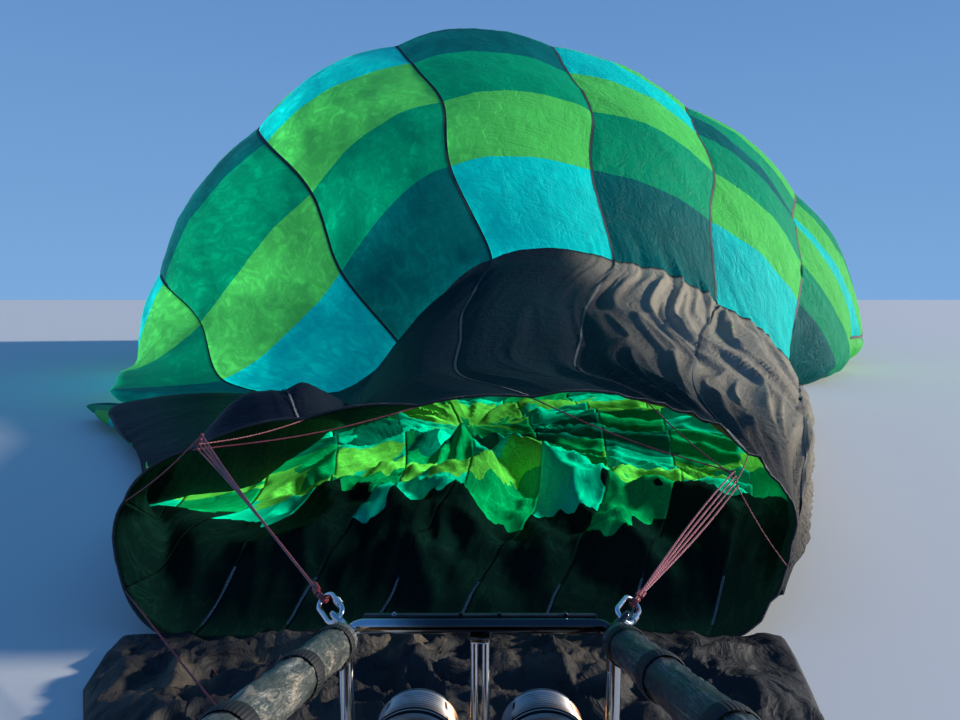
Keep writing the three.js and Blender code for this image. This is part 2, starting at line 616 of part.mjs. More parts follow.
add('basket_scuff_band', cut(
  plate(BASKET_HALF + BAND.thick, BASKET_CORNER + BAND.thick, FLOOR_NEAR, FLOOR_FAR + BAND.high),
  [plate(BASKET_HALF + SEAT, BASKET_CORNER + SEAT, FLOOR_NEAR - 10, FLOOR_FAR + BAND.high + 10)]), LEATHER);
const RUNNER = { half: 30, deep: 35, long: 450, z: 300 };
for (const { name, sign } of [{ name: 'upper', sign: 1 }, { name: 'lower', sign: -1 }]) {
  const z = BASKET_Z + sign * RUNNER.z;
  add(`basket_runner_${name}`, box(-RUNNER.long, RUNNER.long, FLOOR_NEAR - SEAT - RUNNER.deep,
    FLOOR_NEAR - SEAT, z - RUNNER.half, z + RUNNER.half), WOOD);
}

// Fuel cylinders strapped in three corners of the basket.
const TANK_R = 150;
const TANK_LENGTH = 820;
const TANK_REACH = BASKET_HALF - BASKET_WALL - TANK_R - 12;
const tankBase = FLOOR_FAR + SEAT;
for (const corner of CORNERS.slice(0, 3)) {
  const x = corner.sx * TANK_REACH;
  const z = BASKET_Z + corner.sz * TANK_REACH;
  add(`fuel_cylinder_${corner.name}`, turned([
    [0, tankBase], [TANK_R - 40, tankBase], [TANK_R, tankBase + 50], [TANK_R, tankBase + TANK_LENGTH - 70],
    [TANK_R - 45, tankBase + TANK_LENGTH - 20], [40, tankBase + TANK_LENGTH], [40, tankBase + TANK_LENGTH + 50],
    [0, tankBase + TANK_LENGTH + 50],
  ], 24, x, z), TANK);
}

// The origin goes to the middle of the bounding box, at ground level.
const bounds = new THREE.Box3().setFromObject(group);
const centre = bounds.getCenter(new THREE.Vector3());
group.position.set(-centre.x, -centre.y, -bounds.min.z);
group.updateMatrixWorld(true);
export default group;
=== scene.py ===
"""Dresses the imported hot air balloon: envelope, scoop, rigging, burners and basket."""
import logging
import math
from dataclasses import dataclass, field
from enum import Enum
from typing import Callable, Sequence

import bmesh
import bpy
import numpy as np
from mathutils import Matrix, Vector


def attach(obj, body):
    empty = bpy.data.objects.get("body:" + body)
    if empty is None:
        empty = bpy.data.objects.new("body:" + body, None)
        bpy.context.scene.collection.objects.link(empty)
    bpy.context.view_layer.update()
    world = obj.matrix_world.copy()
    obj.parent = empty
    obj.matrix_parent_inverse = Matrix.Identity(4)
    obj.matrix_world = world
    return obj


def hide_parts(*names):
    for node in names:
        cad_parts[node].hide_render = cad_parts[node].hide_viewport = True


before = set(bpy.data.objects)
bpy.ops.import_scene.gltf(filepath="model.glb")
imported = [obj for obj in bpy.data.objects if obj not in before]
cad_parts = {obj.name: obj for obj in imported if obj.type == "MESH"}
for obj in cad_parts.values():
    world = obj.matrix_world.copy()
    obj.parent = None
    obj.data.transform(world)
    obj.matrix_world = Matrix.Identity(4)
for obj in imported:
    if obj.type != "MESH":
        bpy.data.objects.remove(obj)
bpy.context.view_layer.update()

LOG = logging.getLogger("balloon")
PLACE = Vector((-0.803304, -11.2577, 0.0))
ALONG = Vector((0, 1, 0))
FULL_TURN = 2 * math.pi
SEAT_GAP = 0.0003
CLOTH_THICK = 0.0015
BRASS = (0.6, 0.46, 0.22)
Colour = tuple[float, float, float]
Place3 = tuple[float, float, float]
Band = tuple[float, Colour]


def srgb(red: int, green: int, blue: int) -> Colour:
    """A display colour from 0 to 255 as linear light."""
    return tuple((c / 255 / 12.92) if c <= 10 else ((c / 255 + 0.055) / 1.055) ** 2.4
                 for c in (red, green, blue))


class Dye(Enum):
    """The cloth colours of the envelope, with the black neck cloth twice more as seen from inside:
    once in painted shade and once in painted sunlight.
    """

    BLACK = srgb(24, 30, 40)
    # painted shade: the black neck cloth as seen from inside, in shade
    SHADE = srgb(6, 27, 31)
    # painted sunlight: the black neck cloth as seen from inside, on the gores towards the sun
    SUNLIT_LINING = srgb(58, 50, 26)
    CYAN = srgb(0, 196, 186)
    LIME = srgb(78, 190, 86)
    GREEN = srgb(0, 142, 98)
    DARK = srgb(0, 94, 92)


class Body(Enum):
    """The moving bodies of the record."""

    ROOT = "root"
    GIMBAL = "gimbal"
    BURNER = "burner"
    PARACHUTE = "parachute"


def turns(count: int) -> list[float]:
    """Equal steps round a full turn, in radians."""
    return [FULL_TURN * k / count for k in range(count)]


def circle(centre: Vector, u: Vector, v: Vector, radius: float, count: int) -> list[Vector]:
    """A closed circle in the plane of two unit directions."""
    return [centre + u * (radius * math.cos(a)) + v * (radius * math.sin(a))
            for a in turns(count)]


def bowed(start: Vector, end: Vector, shift: Vector, count: int) -> list[Vector]:
    """A line between two points, drawn aside most at its middle."""
    return [start.lerp(end, t) + shift * math.sin(math.pi * t)
            for t in np.linspace(0, 1, count)]


def smoothstep(values: np.ndarray, low: float, high: float) -> np.ndarray:
    """Eases from 0 at low to 1 at high."""
    t = np.clip((values - low) / (high - low), 0, 1)
    return t * t * (3 - 2 * t)


def ripple(x: np.ndarray, y: np.ndarray, seed: float) -> np.ndarray:
    """Smooth lattice noise.

    Args:
        x: First coordinate, one lattice cell to a unit.
        y: Second coordinate.
        seed: A number that picks the pattern.

    Returns:
        Values from -1 to 1.
    """
    def corner(i: np.ndarray, j: np.ndarray) -> np.ndarray:
        """A number from 0 to 1 for each lattice point, the same on every run."""
        return np.modf(np.abs(np.sin(i * 127.1 + j * 311.7 + seed * 74.7) * 43758.5453))[0]

    i, j = np.floor(x), np.floor(y)
    s, t = x - i, y - j
    s, t = s * s * (3 - 2 * s), t * t * (3 - 2 * t)
    near = corner(i, j) * (1 - s) + corner(i + 1, j) * s
    far = corner(i, j + 1) * (1 - s) + corner(i + 1, j + 1) * s
    return 2 * (near * (1 - t) + far * t) - 1


def crumple(x: np.ndarray, y: np.ndarray, seed: float, octaves: int = 4) -> np.ndarray:
    """Sharp-ridged noise like crushed cloth.

    Args:
        x: First coordinate.
        y: Second coordinate.
        seed: A number that picks the pattern.
        octaves: How many finer layers are added, each turned against the last.

    Returns:
        Values from 0 to about 1, high along the ridges.
    """
    total, weight, size = np.zeros_like(x), 0.0, 1.0
    for k in range(octaves):
        turn = 0.9 * k + seed
        u = (x * math.cos(turn) - y * math.sin(turn)) * 2 ** k
        v = (x * math.sin(turn) + y * math.cos(turn)) * 2 ** k
        bend = 0.5 * ripple(v * 0.7, u * 0.7, seed + 9)
        total += size * (1 - np.abs(ripple(u + bend, v, seed + 3 * k))) ** 2
        weight += size
        size *= 0.5
    return total / weight


@dataclass(frozen=True)
class Field:
    """A number that varies over a surface; Python's operators on it add Math nodes."""

    shader: "Shader"
    socket: bpy.types.NodeSocket

    def math(self, operation: str, *terms: "Field | float") -> "Field":
        """A Math node of that operation on the terms, in order."""
        made = self.shader.node("Math", {"operation": operation}, dict(enumerate(terms)))
        return Field(self.shader, made.outputs[0])

    def __add__(self, other: "Field | float") -> "Field":
        """Sum."""
        return self.math("ADD", self, other)

    __radd__ = __add__

    def __mul__(self, other: "Field | float") -> "Field":
        """Product."""
        return self.math("MULTIPLY", self, other)

    __rmul__ = __mul__

    def __sub__(self, other: "Field | float") -> "Field":
        """Difference."""
        return self.math("SUBTRACT", self, other)

    def __rsub__(self, other: float) -> "Field":
        """Difference from a plain number."""
        return self.math("SUBTRACT", other, self)

    def __truediv__(self, other: "Field | float") -> "Field":
        """Quotient."""
        return self.math("DIVIDE", self, other)

    def __abs__(self) -> "Field":
        """Size without sign."""
        return self.math("ABSOLUTE", self)

    def sin(self) -> "Field":
        """Sine of the number in radians."""
        return self.math("SINE", self)

    def fraction(self) -> "Field":
        """What is left over a whole number."""
        return self.math("FRACT", self)

    def ease(self, low: float, high: float) -> "Field":
        """Eases from 0 at low to 1 at high, and stays inside."""
        made = self.shader.node("MapRange", {"interpolation_type": "SMOOTHSTEP"},
                                {"Value": self, "From Min": low, "From Max": high})
        return Field(self.shader, made.outputs[0])


class Shader:
    """Builds one material's node tree."""

    def __init__(self, name: str) -> None:
        """Starts an empty tree with its output."""
        self.material = bpy.data.materials.new(name)
        self.material.use_nodes = True
        self.tree = self.material.node_tree
        self.tree.nodes.clear()
        self.output = self.tree.nodes.new("ShaderNodeOutputMaterial")

    def node(self, kind: str, settings: dict | None = None,
             sockets: dict | None = None) -> bpy.types.Node:
        """Adds a node.

        Args:
            kind: Its type, without the ShaderNode in front.
            settings: Its own settings, set before its sockets; stops are a ramp's colours.
            sockets: A value, a Field or a socket for each input, by name or number.

        Returns:
            The node.
        """
        made = self.tree.nodes.new("ShaderNode" + kind)
        for key, value in (settings or {}).items():
            if key == "stops":
                ramp = made.color_ramp
                while len(ramp.elements) < len(value):
                    ramp.elements.new(1.0)
                for element, (at, colour) in zip(ramp.elements, value):
                    element.position = at
                    element.color = (*colour, 1)
            elif key == "ramp":
                made.color_ramp.interpolation = value
            else:
                setattr(made, key, value)
        for key, value in (sockets or {}).items():
            if isinstance(value, Field):
                value = value.socket
            if isinstance(value, bpy.types.NodeSocket):
                self.tree.links.new(value, made.inputs[key])
            elif isinstance(value, tuple) and len(value) == 3 and made.inputs[key].type == "RGBA":
                made.inputs[key].default_value = (*value, 1)
            else:
                made.inputs[key].default_value = value
        return made

    def here(self) -> bpy.types.NodeSocket:
        """The point in the object's own coordinates, in metres."""
        return self.node("TexCoord").outputs["Object"]

    def laid(self, name: str = "cloth") -> bpy.types.NodeSocket:
        """The point on a UV map, in metres across and along."""
        return self.node("UVMap", {"uv_map": name}).outputs[0]

    def parts(self, vector: bpy.types.NodeSocket) -> tuple[Field, Field, Field]:
        """The three numbers of a vector."""
        made = self.node("SeparateXYZ", None, {0: vector})
        return tuple(Field(self, made.outputs[i]) for i in range(3))

    def stretched(self, vector: bpy.types.NodeSocket, scale: Place3,
                  turn: Place3 = (0, 0, 0)) -> bpy.types.NodeSocket:
        """A vector scaled and turned, so that a pattern can be drawn out."""
        return self.node("Mapping", None, {"Vector": vector, "Scale": scale,
                                           "Rotation": turn}).outputs[0]

    def noise(self, vector: bpy.types.NodeSocket, scale: float, detail: float = 3,
              distortion: float = 0, rough: float = 0.5) -> Field:
        """Soft noise from 0 to 1."""
        made = self.node("TexNoise", None, {"Vector": vector, "Scale": scale, "Detail": detail,
                                            "Distortion": distortion, "Roughness": rough})
        return Field(self, made.outputs[0])

    def creases(self, vector: bpy.types.NodeSocket, scale: float) -> Field:
        """Flat facets that meet in sharp creases, as in crushed film or cloth."""
        made = self.node("TexVoronoi", {"feature": "F1"}, {"Vector": vector, "Scale": scale})
        return Field(self, made.outputs["Distance"])

    def mix(self, factor: Field | float, low: object, high: object,
            blend: str = "MIX") -> bpy.types.NodeSocket:
        """Mixes two colours."""
        made = self.node("Mix", {"data_type": "RGBA", "blend_type": blend},
                         {0: factor, 6: low, 7: high})
        return made.outputs[2]

    def tinted(self, colour: object, tint: object) -> bpy.types.NodeSocket:
        """A colour times another."""
        return self.mix(1.0, colour, tint, "MULTIPLY")

    def bump(self, height: Field, distance: float, below: object = None) -> bpy.types.NodeSocket:
        """A normal from a height in units of the distance in metres."""
        sockets = {"Height": height, "Distance": distance, "Strength": 1.0}
        if below is not None:
            sockets["Normal"] = below
        return self.node("Bump", None, sockets).outputs[0]

    def surface(self, **sockets: object) -> bpy.types.Material:
        """Ends the tree in a Principled shader; names have _ for spaces."""
        names = {key.replace("_", " ").title().replace("Ior", "IOR"): value
                 for key, value in sockets.items()}
        made = self.node("BsdfPrincipled", None, names)
        self.tree.links.new(made.outputs[0], self.output.inputs[0])
        return self.material


@dataclass(frozen=True)
class PanelCloth:
    """Coated ripstop sewn in panels, with a sunlit outside and a painted glow that stands in for
    light through the cloth.

    The bands are in rows of panels from the mouth. The glow is painted light, an emission; the
    light is the direction that the painted glow answers to, least and most are its strength off and
    on that direction, and through is the tint of the light that comes through the cloth.
    """

    name: str
    bands: tuple[Band, ...]
    glow: float = 0.0
    crinkled: float = 0.5
    wander: float = 0.05
    light: Place3 = (-0.3, 0.3, 0.9)
    neck_dark: bool = False
    gather: Place3 = (-0.9033, -4.2577, 0)
    gloss: float = 0.5
    shine: float = 0.03
    grazing: float = 0.0
    least: float = 0.45
    most: float = 1.15
    through: Colour = (0.8, 1.0, 0.92)
    rays: bool = False
    # painted sunlight: the brown-grey that the black neck cloth turns towards +X, where the sun
    # falls
    sunlit_neck_colour: Colour = srgb(146, 138, 122)
    rows: int = 16

    def material(self) -> bpy.types.Material:
        """Builds the cloth from the panel map, with seams, crinkles, soiling and weave, a painted
        highlight along its folds, painted sunlight on the neck and the painted glow.
        """
        sh = Shader(self.name)
        across, row, _ = sh.parts(sh.laid("panel"))
        at = sh.here()
        cloth = sh.laid("cloth")
        stops = tuple((b / self.rows, c) for b, c in self.bands)
        wobble = (sh.noise(cloth, 1.1, 3) - 0.5) * (self.wander / self.rows)
        rays = self.fan(sh, at, self.gather) if self.rays else None
        if rays:
            wobble = wobble + (sh.noise(rays, 1.3, 3, 0.3) - 0.5) * (1.8 / self.rows)
        panel = sh.node("ValToRGB", {"ramp": "CONSTANT", "stops": stops},
                        {0: row + wobble}).outputs[0]
        cloud = sh.noise(at, 0.55, 4)
        tone = sh.mix(cloud.ease(0.35, 0.7) * 0.35, panel, sh.tinted(panel, (0.62, 0.66, 0.7)))
        # painted highlight: the cloth is lighter along its folds
        fold = sh.noise(sh.stretched(cloth, (1.6, 0.5, 1)), 2.2, 5, 0.7)
        tone = sh.mix((fold - 0.5).ease(0.02, 0.22) * 0.3, tone,
                      sh.tinted(tone, (1.35, 1.4, 1.3)))
        # painted sunlight: on the neck the black cloth turns brown-grey towards +X
        if self.neck_dark:
            side, _, _ = sh.parts(at)
            in_neck = 1 - row.ease(4.9 / self.rows, 5.0 / self.rows)
            tone = sh.mix((side + cloud * 0.8).ease(0.6, 2.0) * in_neck, tone, self.sunlit_neck_colour)
        seam = abs(across - 0.5).ease(0.496, 0.4995)
        tone = sh.mix(seam * 0.7, tone, (0.012, 0.02, 0.024))
        crinkle = abs(sh.noise(cloth, 3.4, 6, 0.9, 0.62) - 0.5)
        facets = sh.creases(sh.stretched(cloth, (1, 0.8, 1), (0, 0, 0.6)), 5.5)
        fine = abs(sh.noise(cloth, 16, 4, 0.5, 0.6) - 0.5)
        weave_u, weave_v, _ = sh.parts(sh.stretched(cloth, (785, 785, 1)))
        weave = weave_u.sin() * weave_v.sin()
        # on the ground the rays' thin lines are creases in the bump and painted highlights in the
        # glow
        if rays:
            crinkle = abs(sh.noise(rays, 2.6, 7, 0.6, 0.62) - 0.5) * 0.75 + crinkle * 0.25
            thread = abs(sh.noise(rays, 7.0, 5, 0.8, 0.6) - 0.5)
            crinkle = crinkle + (1 - thread.ease(0.0, 0.03)) * 0.16
        level = abs(sh.noise(sh.stretched(cloth, (0.35, 3.2, 1)), 2.4, 5, 0.8) - 0.5)
        normal = sh.bump(1 - crinkle * 2, 0.05 * self.crinkled)
        normal = sh.bump(facets, 0.012 * self.crinkled, normal)
        normal = sh.bump(1 - level * 2, 0.012, normal)
        normal = sh.bump(1 - fine * 2, 0.008 * self.crinkled, normal)
        normal = sh.bump(weave, 0.0002, normal)
        values = {"base_color": tone, "roughness": cloud * 0.2 + (self.gloss - 0.1),
                  "normal": normal, "specular_ior_level": self.shine}
        # painted light: an emission that stands in for sunlight through the cloth, brighter on
        # crinkles, in random patches and on faces turned to the light direction
        if self.glow:
            normals = sh.node("NewGeometry").outputs["Normal"]
            facing = Field(sh, sh.node("VectorMath", {"operation": "DOT_PRODUCT"},
                                       {0: normals, 1: self.light}).outputs[1])
            spread = sh.noise(sh.stretched(at, (1, 0.4, 1)), 1.1, 4, 0.6).ease(0.25, 0.75)
            lit = (0.3 + spread * 0.9) * (0.5 + crinkle * 2.4)
            lit = lit * (self.least + (self.most - self.least) * facing.ease(self.grazing, 1.0))
            if self.neck_dark:
                lit = lit * row.ease(4.2 / self.rows, 5.0 / self.rows)
            grey = sh.node("CombineColor", None, {0: lit, 1: lit, 2: lit}).outputs[0]
            values["emission_color"] = sh.tinted(sh.tinted(tone, self.through), grey)
            values["emission_strength"] = self.glow
        return sh.surface(**values)

    @staticmethod
    def fan(sh: Shader, at: bpy.types.NodeSocket, gather: Place3) -> bpy.types.NodeSocket:
        """Turn and reach about the point that the cloth on the ground is gathered towards."""
        out = sh.node("VectorMath", {"operation": "SUBTRACT"}, {0: at, 1: gather}).outputs[0]
        aside, ahead, _ = sh.parts(out)
        turn = aside.math("ARCTAN2", aside, ahead * -1)
        reach = Field(sh, sh.node("VectorMath", {"operation": "LENGTH"}, {0: out}).outputs[1])
        return sh.node("CombineXYZ", None, {0: turn * 5, 1: reach * 0.5}).outputs[0]


@dataclass(frozen=True)
class CrushedCloth:
    """Dark heat-proof cloth with brown patches, partly dust and partly painted sunlight, as it lies
    crushed on the ground.
    """

    name: str
    colour: Colour = srgb(40, 40, 41)
    # the brown of the patches: partly dust, partly painted sunlight
    dust_and_sun_brown: Colour = srgb(112, 100, 82)

    def material(self) -> bpy.types.Material:
        """Builds the cloth."""
        sh = Shader(self.name)
        at = sh.here()
        cloth = sh.laid("cloth")
        patch = sh.noise(at, 2.6, 5, 0.4)
        speck = sh.noise(at, 42, 4)
        # brown patches at random: partly dust, partly painted sunlight on the black cloth
        tone = sh.mix(patch.ease(0.45, 0.75) * 0.55, self.colour, self.dust_and_sun_brown)
        tone = sh.mix(speck.ease(0.6, 0.8) * 0.25, tone, (0.02, 0.02, 0.02))
        ridge = abs(sh.noise(at, 5.0, 4, 1.1, 0.5) - 0.5)
        fine = abs(sh.noise(at, 26, 5, 0.6, 0.6) - 0.5)
        weave_u, weave_v, _ = sh.parts(sh.stretched(cloth, (1600, 1600, 1)))
        normal = sh.bump(1 - ridge * 2, 0.03)
        normal = sh.bump(1 - fine * 2, 0.004, normal)
        normal = sh.bump(weave_u.sin() * weave_v.sin(), 0.0002, normal)
        return sh.surface(base_color=tone, roughness=0.78 - patch * 0.2, normal=normal,
                          specular_ior_level=0.25)


@dataclass(frozen=True)
class Webbing:
    """Woven load tape; near the mouth it carries rows of pale stitching."""

    name: str
    colour: Colour
    stitched: float = 0.0
    half: float = 0.02

    def material(self) -> bpy.types.Material:
        """Builds the tape from its metre map: across from its middle, along from its end."""
        sh = Shader(self.name)
        cloth = sh.laid("cloth")
        across, along, _ = sh.parts(cloth)
        rib = (along * 900).sin() * 0.5 + 0.5
        wear = sh.noise(cloth, 30, 4)
        worn = tuple(c * 2.2 + 0.01 for c in self.colour)
        tone = sh.mix(wear.ease(0.4, 0.8) * 0.4, self.colour, worn)
        if self.stitched:
            lane = abs(((across / self.half) * 1.5 + 0.5).fraction() - 0.5)
            thread = 1 - lane.ease(0.14, 0.24)
            dash = (along * 90).fraction().ease(0.3, 0.36)
            near = 1 - along.ease(self.stitched, self.stitched + 0.01)
            tone = sh.mix(thread * dash * near, tone, srgb(214, 212, 204))
        return sh.surface(base_color=tone, roughness=0.7, normal=sh.bump(rib, 0.0006))


class MetalLook(Enum):
    """How a metal piece is worked."""

    POLISHED = "polished"
    BRUSHED = "brushed"
    HEAT_TINTED = "heat tinted"


@dataclass(frozen=True)
class Metal:
    """Bare metal with scratches, smears and, on burner parts, heat colours; where asked, a painted
    dark reflection.
    """

    name: str
    colour: Colour
    look: MetalLook = MetalLook.BRUSHED
    roughness: float = 0.25
    # True paints a dark reflection onto the top of the frame
    painted_dark_reflection: bool = False

    def material(self) -> bpy.types.Material:
        """Builds the metal."""
        sh = Shader(self.name)
        at = sh.here()
        smear = sh.noise(at, 9, 5, 0.4)
        scratch = sh.noise(sh.stretched(at, (400, 20, 400)), 2.0, 3)
        grain = sh.noise(at, 180, 2)
        dulled = tuple(c * 0.62 for c in self.colour)
        tone = sh.mix(smear.ease(0.35, 0.75) * 0.4, self.colour, dulled)
        rough = smear * 0.16 + (self.roughness - 0.06)
        if self.look is MetalLook.HEAT_TINTED:
            heat = sh.noise(at, 13, 4, 0.8)
            tone = sh.mix(heat.ease(0.4, 0.62) * 0.6, tone, srgb(176, 122, 70))
            tone = sh.mix(heat.ease(0.58, 0.75) * 0.55, tone, srgb(92, 84, 120))
        if self.look is MetalLook.POLISHED:
            rough = smear.ease(0.55, 0.8) * 0.14 + self.roughness
            normal = sh.bump(smear, 0.0008)
        else:
            normal = sh.bump(scratch + grain * 0.5, 0.0003)
        # painted reflection: above z 0.715 the metal turns near black except at its left end, as
        # though it mirrored the black cloth above
        if self.painted_dark_reflection:
            side, _, high = sh.parts(at)
            soot_and_dark_reflection = (side + smear * 0.2).ease(-1.0, -0.8) * high.ease(0.7, 0.715)
            tone = sh.mix(soot_and_dark_reflection * 0.93, tone, (0.02, 0.02, 0.024))
        return sh.surface(base_color=tone, metallic=1.0, roughness=rough, normal=normal)


@dataclass(frozen=True)
class CanSteel:
    """Thin rolled steel with close ribs and two rows of punched holes along it, with painted
    sunlight on its +X flank and painted shade on its -X flank, in its rib grooves and in its holes.
    """

    name: str
    centre: Place3

    def material(self) -> bpy.types.Material:
        """Builds the can's finish about its own axis."""
        sh = Shader(self.name)
        at = sh.node("VectorMath", {"operation": "SUBTRACT"},
                     {0: sh.here(), 1: self.centre}).outputs[0]
        x, y, z = sh.parts(at)
        angle = abs(x).math("ARCTAN2", abs(x), z)
        rib = (y * 546).sin() * 0.5 + 0.5
        drum = y.ease(0.043, 0.046)
        row = (1 - abs(angle - 0.75).ease(0.03, 0.042)) * drum
        hole = row * (1 - abs((y * 100).fraction() - 0.5).ease(0.22, 0.3))
        band = (1 - abs(angle - 0.75).ease(0.05, 0.055)) * drum
        flank = angle.ease(0.78, 0.8) * drum
        heat = sh.noise(at, 14, 4, 0.8)
        # grey soot patches on the can
        soot_and_dark_reflection = sh.noise(at, 5, 4)
        tone = sh.mix(heat.ease(0.5, 0.8) * 0.5, srgb(196, 192, 186), srgb(172, 136, 94))
        tone = sh.mix(soot_and_dark_reflection.ease(0.5, 0.72) * 0.4, tone, srgb(98, 94, 98))
        tone = sh.mix((1 - y.ease(0.05, 0.085)) * 0.6, tone, srgb(116, 92, 74))
        # painted sunlight: the flank beyond the hole row on +X turns bronze
        tone = sh.mix(flank * x.ease(0.0, 0.02) * 0.85, tone, srgb(158, 98, 54))
        # painted shade: the flank beyond the hole row on -X turns dark blue
        tone = sh.mix(flank * (1 - x.ease(-0.02, 0.0)) * 0.7, tone, srgb(60, 74, 98))
        # painted shade: the grooves between the ribs are darker
        groove = (1 - rib.ease(0.1, 0.6)) * y.ease(0.04, 0.05)
        tone = sh.mix(groove * 0.8, tone, srgb(58, 56, 58))
        tone = sh.mix(band * 0.2, tone, srgb(120, 104, 84))
        # painted shade: the holes are drawn as near-black dots
        tone = sh.mix(hole, tone, (0.004, 0.004, 0.005))
        normal = sh.bump(soot_and_dark_reflection + heat, 0.0004)
        normal = sh.bump(1 - hole, 0.001, normal)
        return sh.surface(base_color=tone, metallic=1.0, roughness=heat * 0.2 + 0.3,
                          normal=normal)


@dataclass(frozen=True)
class Hide:
    """Leather or vinyl with grain, creases and worn places."""

    name: str
    colour: Colour
    worn: Colour
    crease: float = 0.004
    crease_scale: float = 14.0
    amount: float = 0.5
    roughness: float = 0.5
    drawn: Place3 = (1, 1, 1)
    scored: float = 0.03
    scratched: float = 0.0

    def material(self) -> bpy.types.Material:
        """Builds the hide."""
        sh = Shader(self.name)
        at = sh.stretched(sh.laid("cloth"), self.drawn)
        fold = abs(sh.noise(at, self.crease_scale, 6, 1.4, 0.62) - 0.5)
        line = 1 - fold.ease(0.0, self.scored)
        patch = sh.noise(at, 3.5, 5, 0.5)
        grain = sh.creases(at, 420)
        tone = sh.mix(patch.ease(0.56, 0.7) * self.amount, self.colour, self.worn)
        tone = sh.mix(line * patch.ease(0.35, 0.6) * self.amount, tone,
                      tuple(min(1.0, c * 1.6 + 0.02) for c in self.worn))
        if self.scratched:
            bundle = sh.noise(at, 1.7, 3, 0.4).ease(0.42, 0.6)
            for turn, scale in ((0.5, 15), (-0.4, 22), (1.1, 18)):
                hair = sh.noise(sh.stretched(at, (1, 0.2, 1), (0, 0, turn)), scale, 3, 0.3)
                drawn = 1 - abs(hair - 0.5).ease(0.0, 0.012)
                tone = sh.mix(drawn * bundle * self.scratched, tone, srgb(206, 206, 196))
        normal = sh.bump(fold * 2, self.crease)
        normal = sh.bump(grain, 0.0004, normal)
        return sh.surface(base_color=tone, roughness=patch * 0.25 + (self.roughness - 0.12),
                          normal=normal, coat_weight=0.12, coat_roughness=0.3)


@dataclass(frozen=True)
class Willow:
    """Cane or willow with fibres along each rod."""

    name: str
    colour: Colour
    dark: Colour

    def material(self) -> bpy.types.Material:
        """Builds the rod's finish along its own map."""
        sh = Shader(self.name)
        cloth = sh.laid("cloth")
        fibre = sh.noise(sh.stretched(cloth, (260, 9, 1)), 1.0, 4)
        shade = sh.noise(sh.here(), 7, 4)
        tone = sh.mix(fibre.ease(0.35, 0.7) * 0.6, self.colour, self.dark)
        tone = sh.mix(shade.ease(0.45, 0.7) * 0.5, tone, tuple(c * 0.55 for c in self.dark))
        return sh.surface(base_color=tone, roughness=fibre * 0.25 + 0.42,
                          normal=sh.bump(fibre, 0.0008), coat_weight=0.2, coat_roughness=0.35)


@dataclass(frozen=True)
class Timber:
    """Varnished wood with rings drawn out along X."""

    name: str
    colour: Colour
    dark: Colour

    def material(self) -> bpy.types.Material:
        """Builds the wood."""
        sh = Shader(self.name)
        at = sh.here()
        ring = sh.noise(sh.stretched(at, (1.2, 26, 26)), 1.4, 5, 0.9)
        pore = sh.noise(sh.stretched(at, (14, 420, 420)), 1.0, 2)
        scuff = sh.noise(at, 5, 5)
        tone = sh.mix(ring.ease(0.35, 0.66), self.colour, self.dark)
        tone = sh.mix(scuff.ease(0.55, 0.75) * 0.45, tone, srgb(120, 108, 92))
        return sh.surface(base_color=tone, roughness=scuff * 0.3 + 0.35,
                          normal=sh.bump(ring + pore, 0.0008))


@dataclass(frozen=True)
class Wire:
    """Twisted wire under a coloured sheath, with a painted highlight on the crests of its twist."""

    name: str
    colour: Colour
    # the colour of the painted highlight on the crests of the twist
    light: Colour

    def material(self) -> bpy.types.Material:
        """Builds the twist on the wire's own map: turns across, metres along."""
        sh = Shader(self.name)
        around, along, _ = sh.parts(sh.laid("cloth"))
        twist = (around * 25.1 + along * 420).sin() * 0.5 + 0.5
        patch = sh.noise(sh.here(), 6, 3)
        # painted highlight: the crests of the twist are lighter
        tone = sh.mix(twist * 0.6, self.colour, self.light)
        tone = sh.mix(patch.ease(0.5, 0.7) * 0.5, tone, tuple(c * 0.4 for c in self.colour))
        return sh.surface(base_color=tone, roughness=0.38, normal=sh.bump(twist, 0.0009))


@dataclass(frozen=True)
class Moulding:
    """Moulded plastic or painted metal with fine speckle and rubbed edges."""

    name: str
    colour: Colour
    roughness: float = 0.45

    def material(self) -> bpy.types.Material:
        """Builds the moulding."""
        sh = Shader(self.name)
        at = sh.here()
        speckle = sh.noise(at, 320, 2)
        rub = sh.noise(at, 16, 5)
        rubbed = tuple(c * 1.8 + 0.02 for c in self.colour)
        tone = sh.mix(rub.ease(0.5, 0.72) * 0.4, self.colour, rubbed)
        return sh.surface(base_color=tone, roughness=rub * 0.2 + (self.roughness - 0.1),
                          normal=sh.bump(speckle, 0.0004))


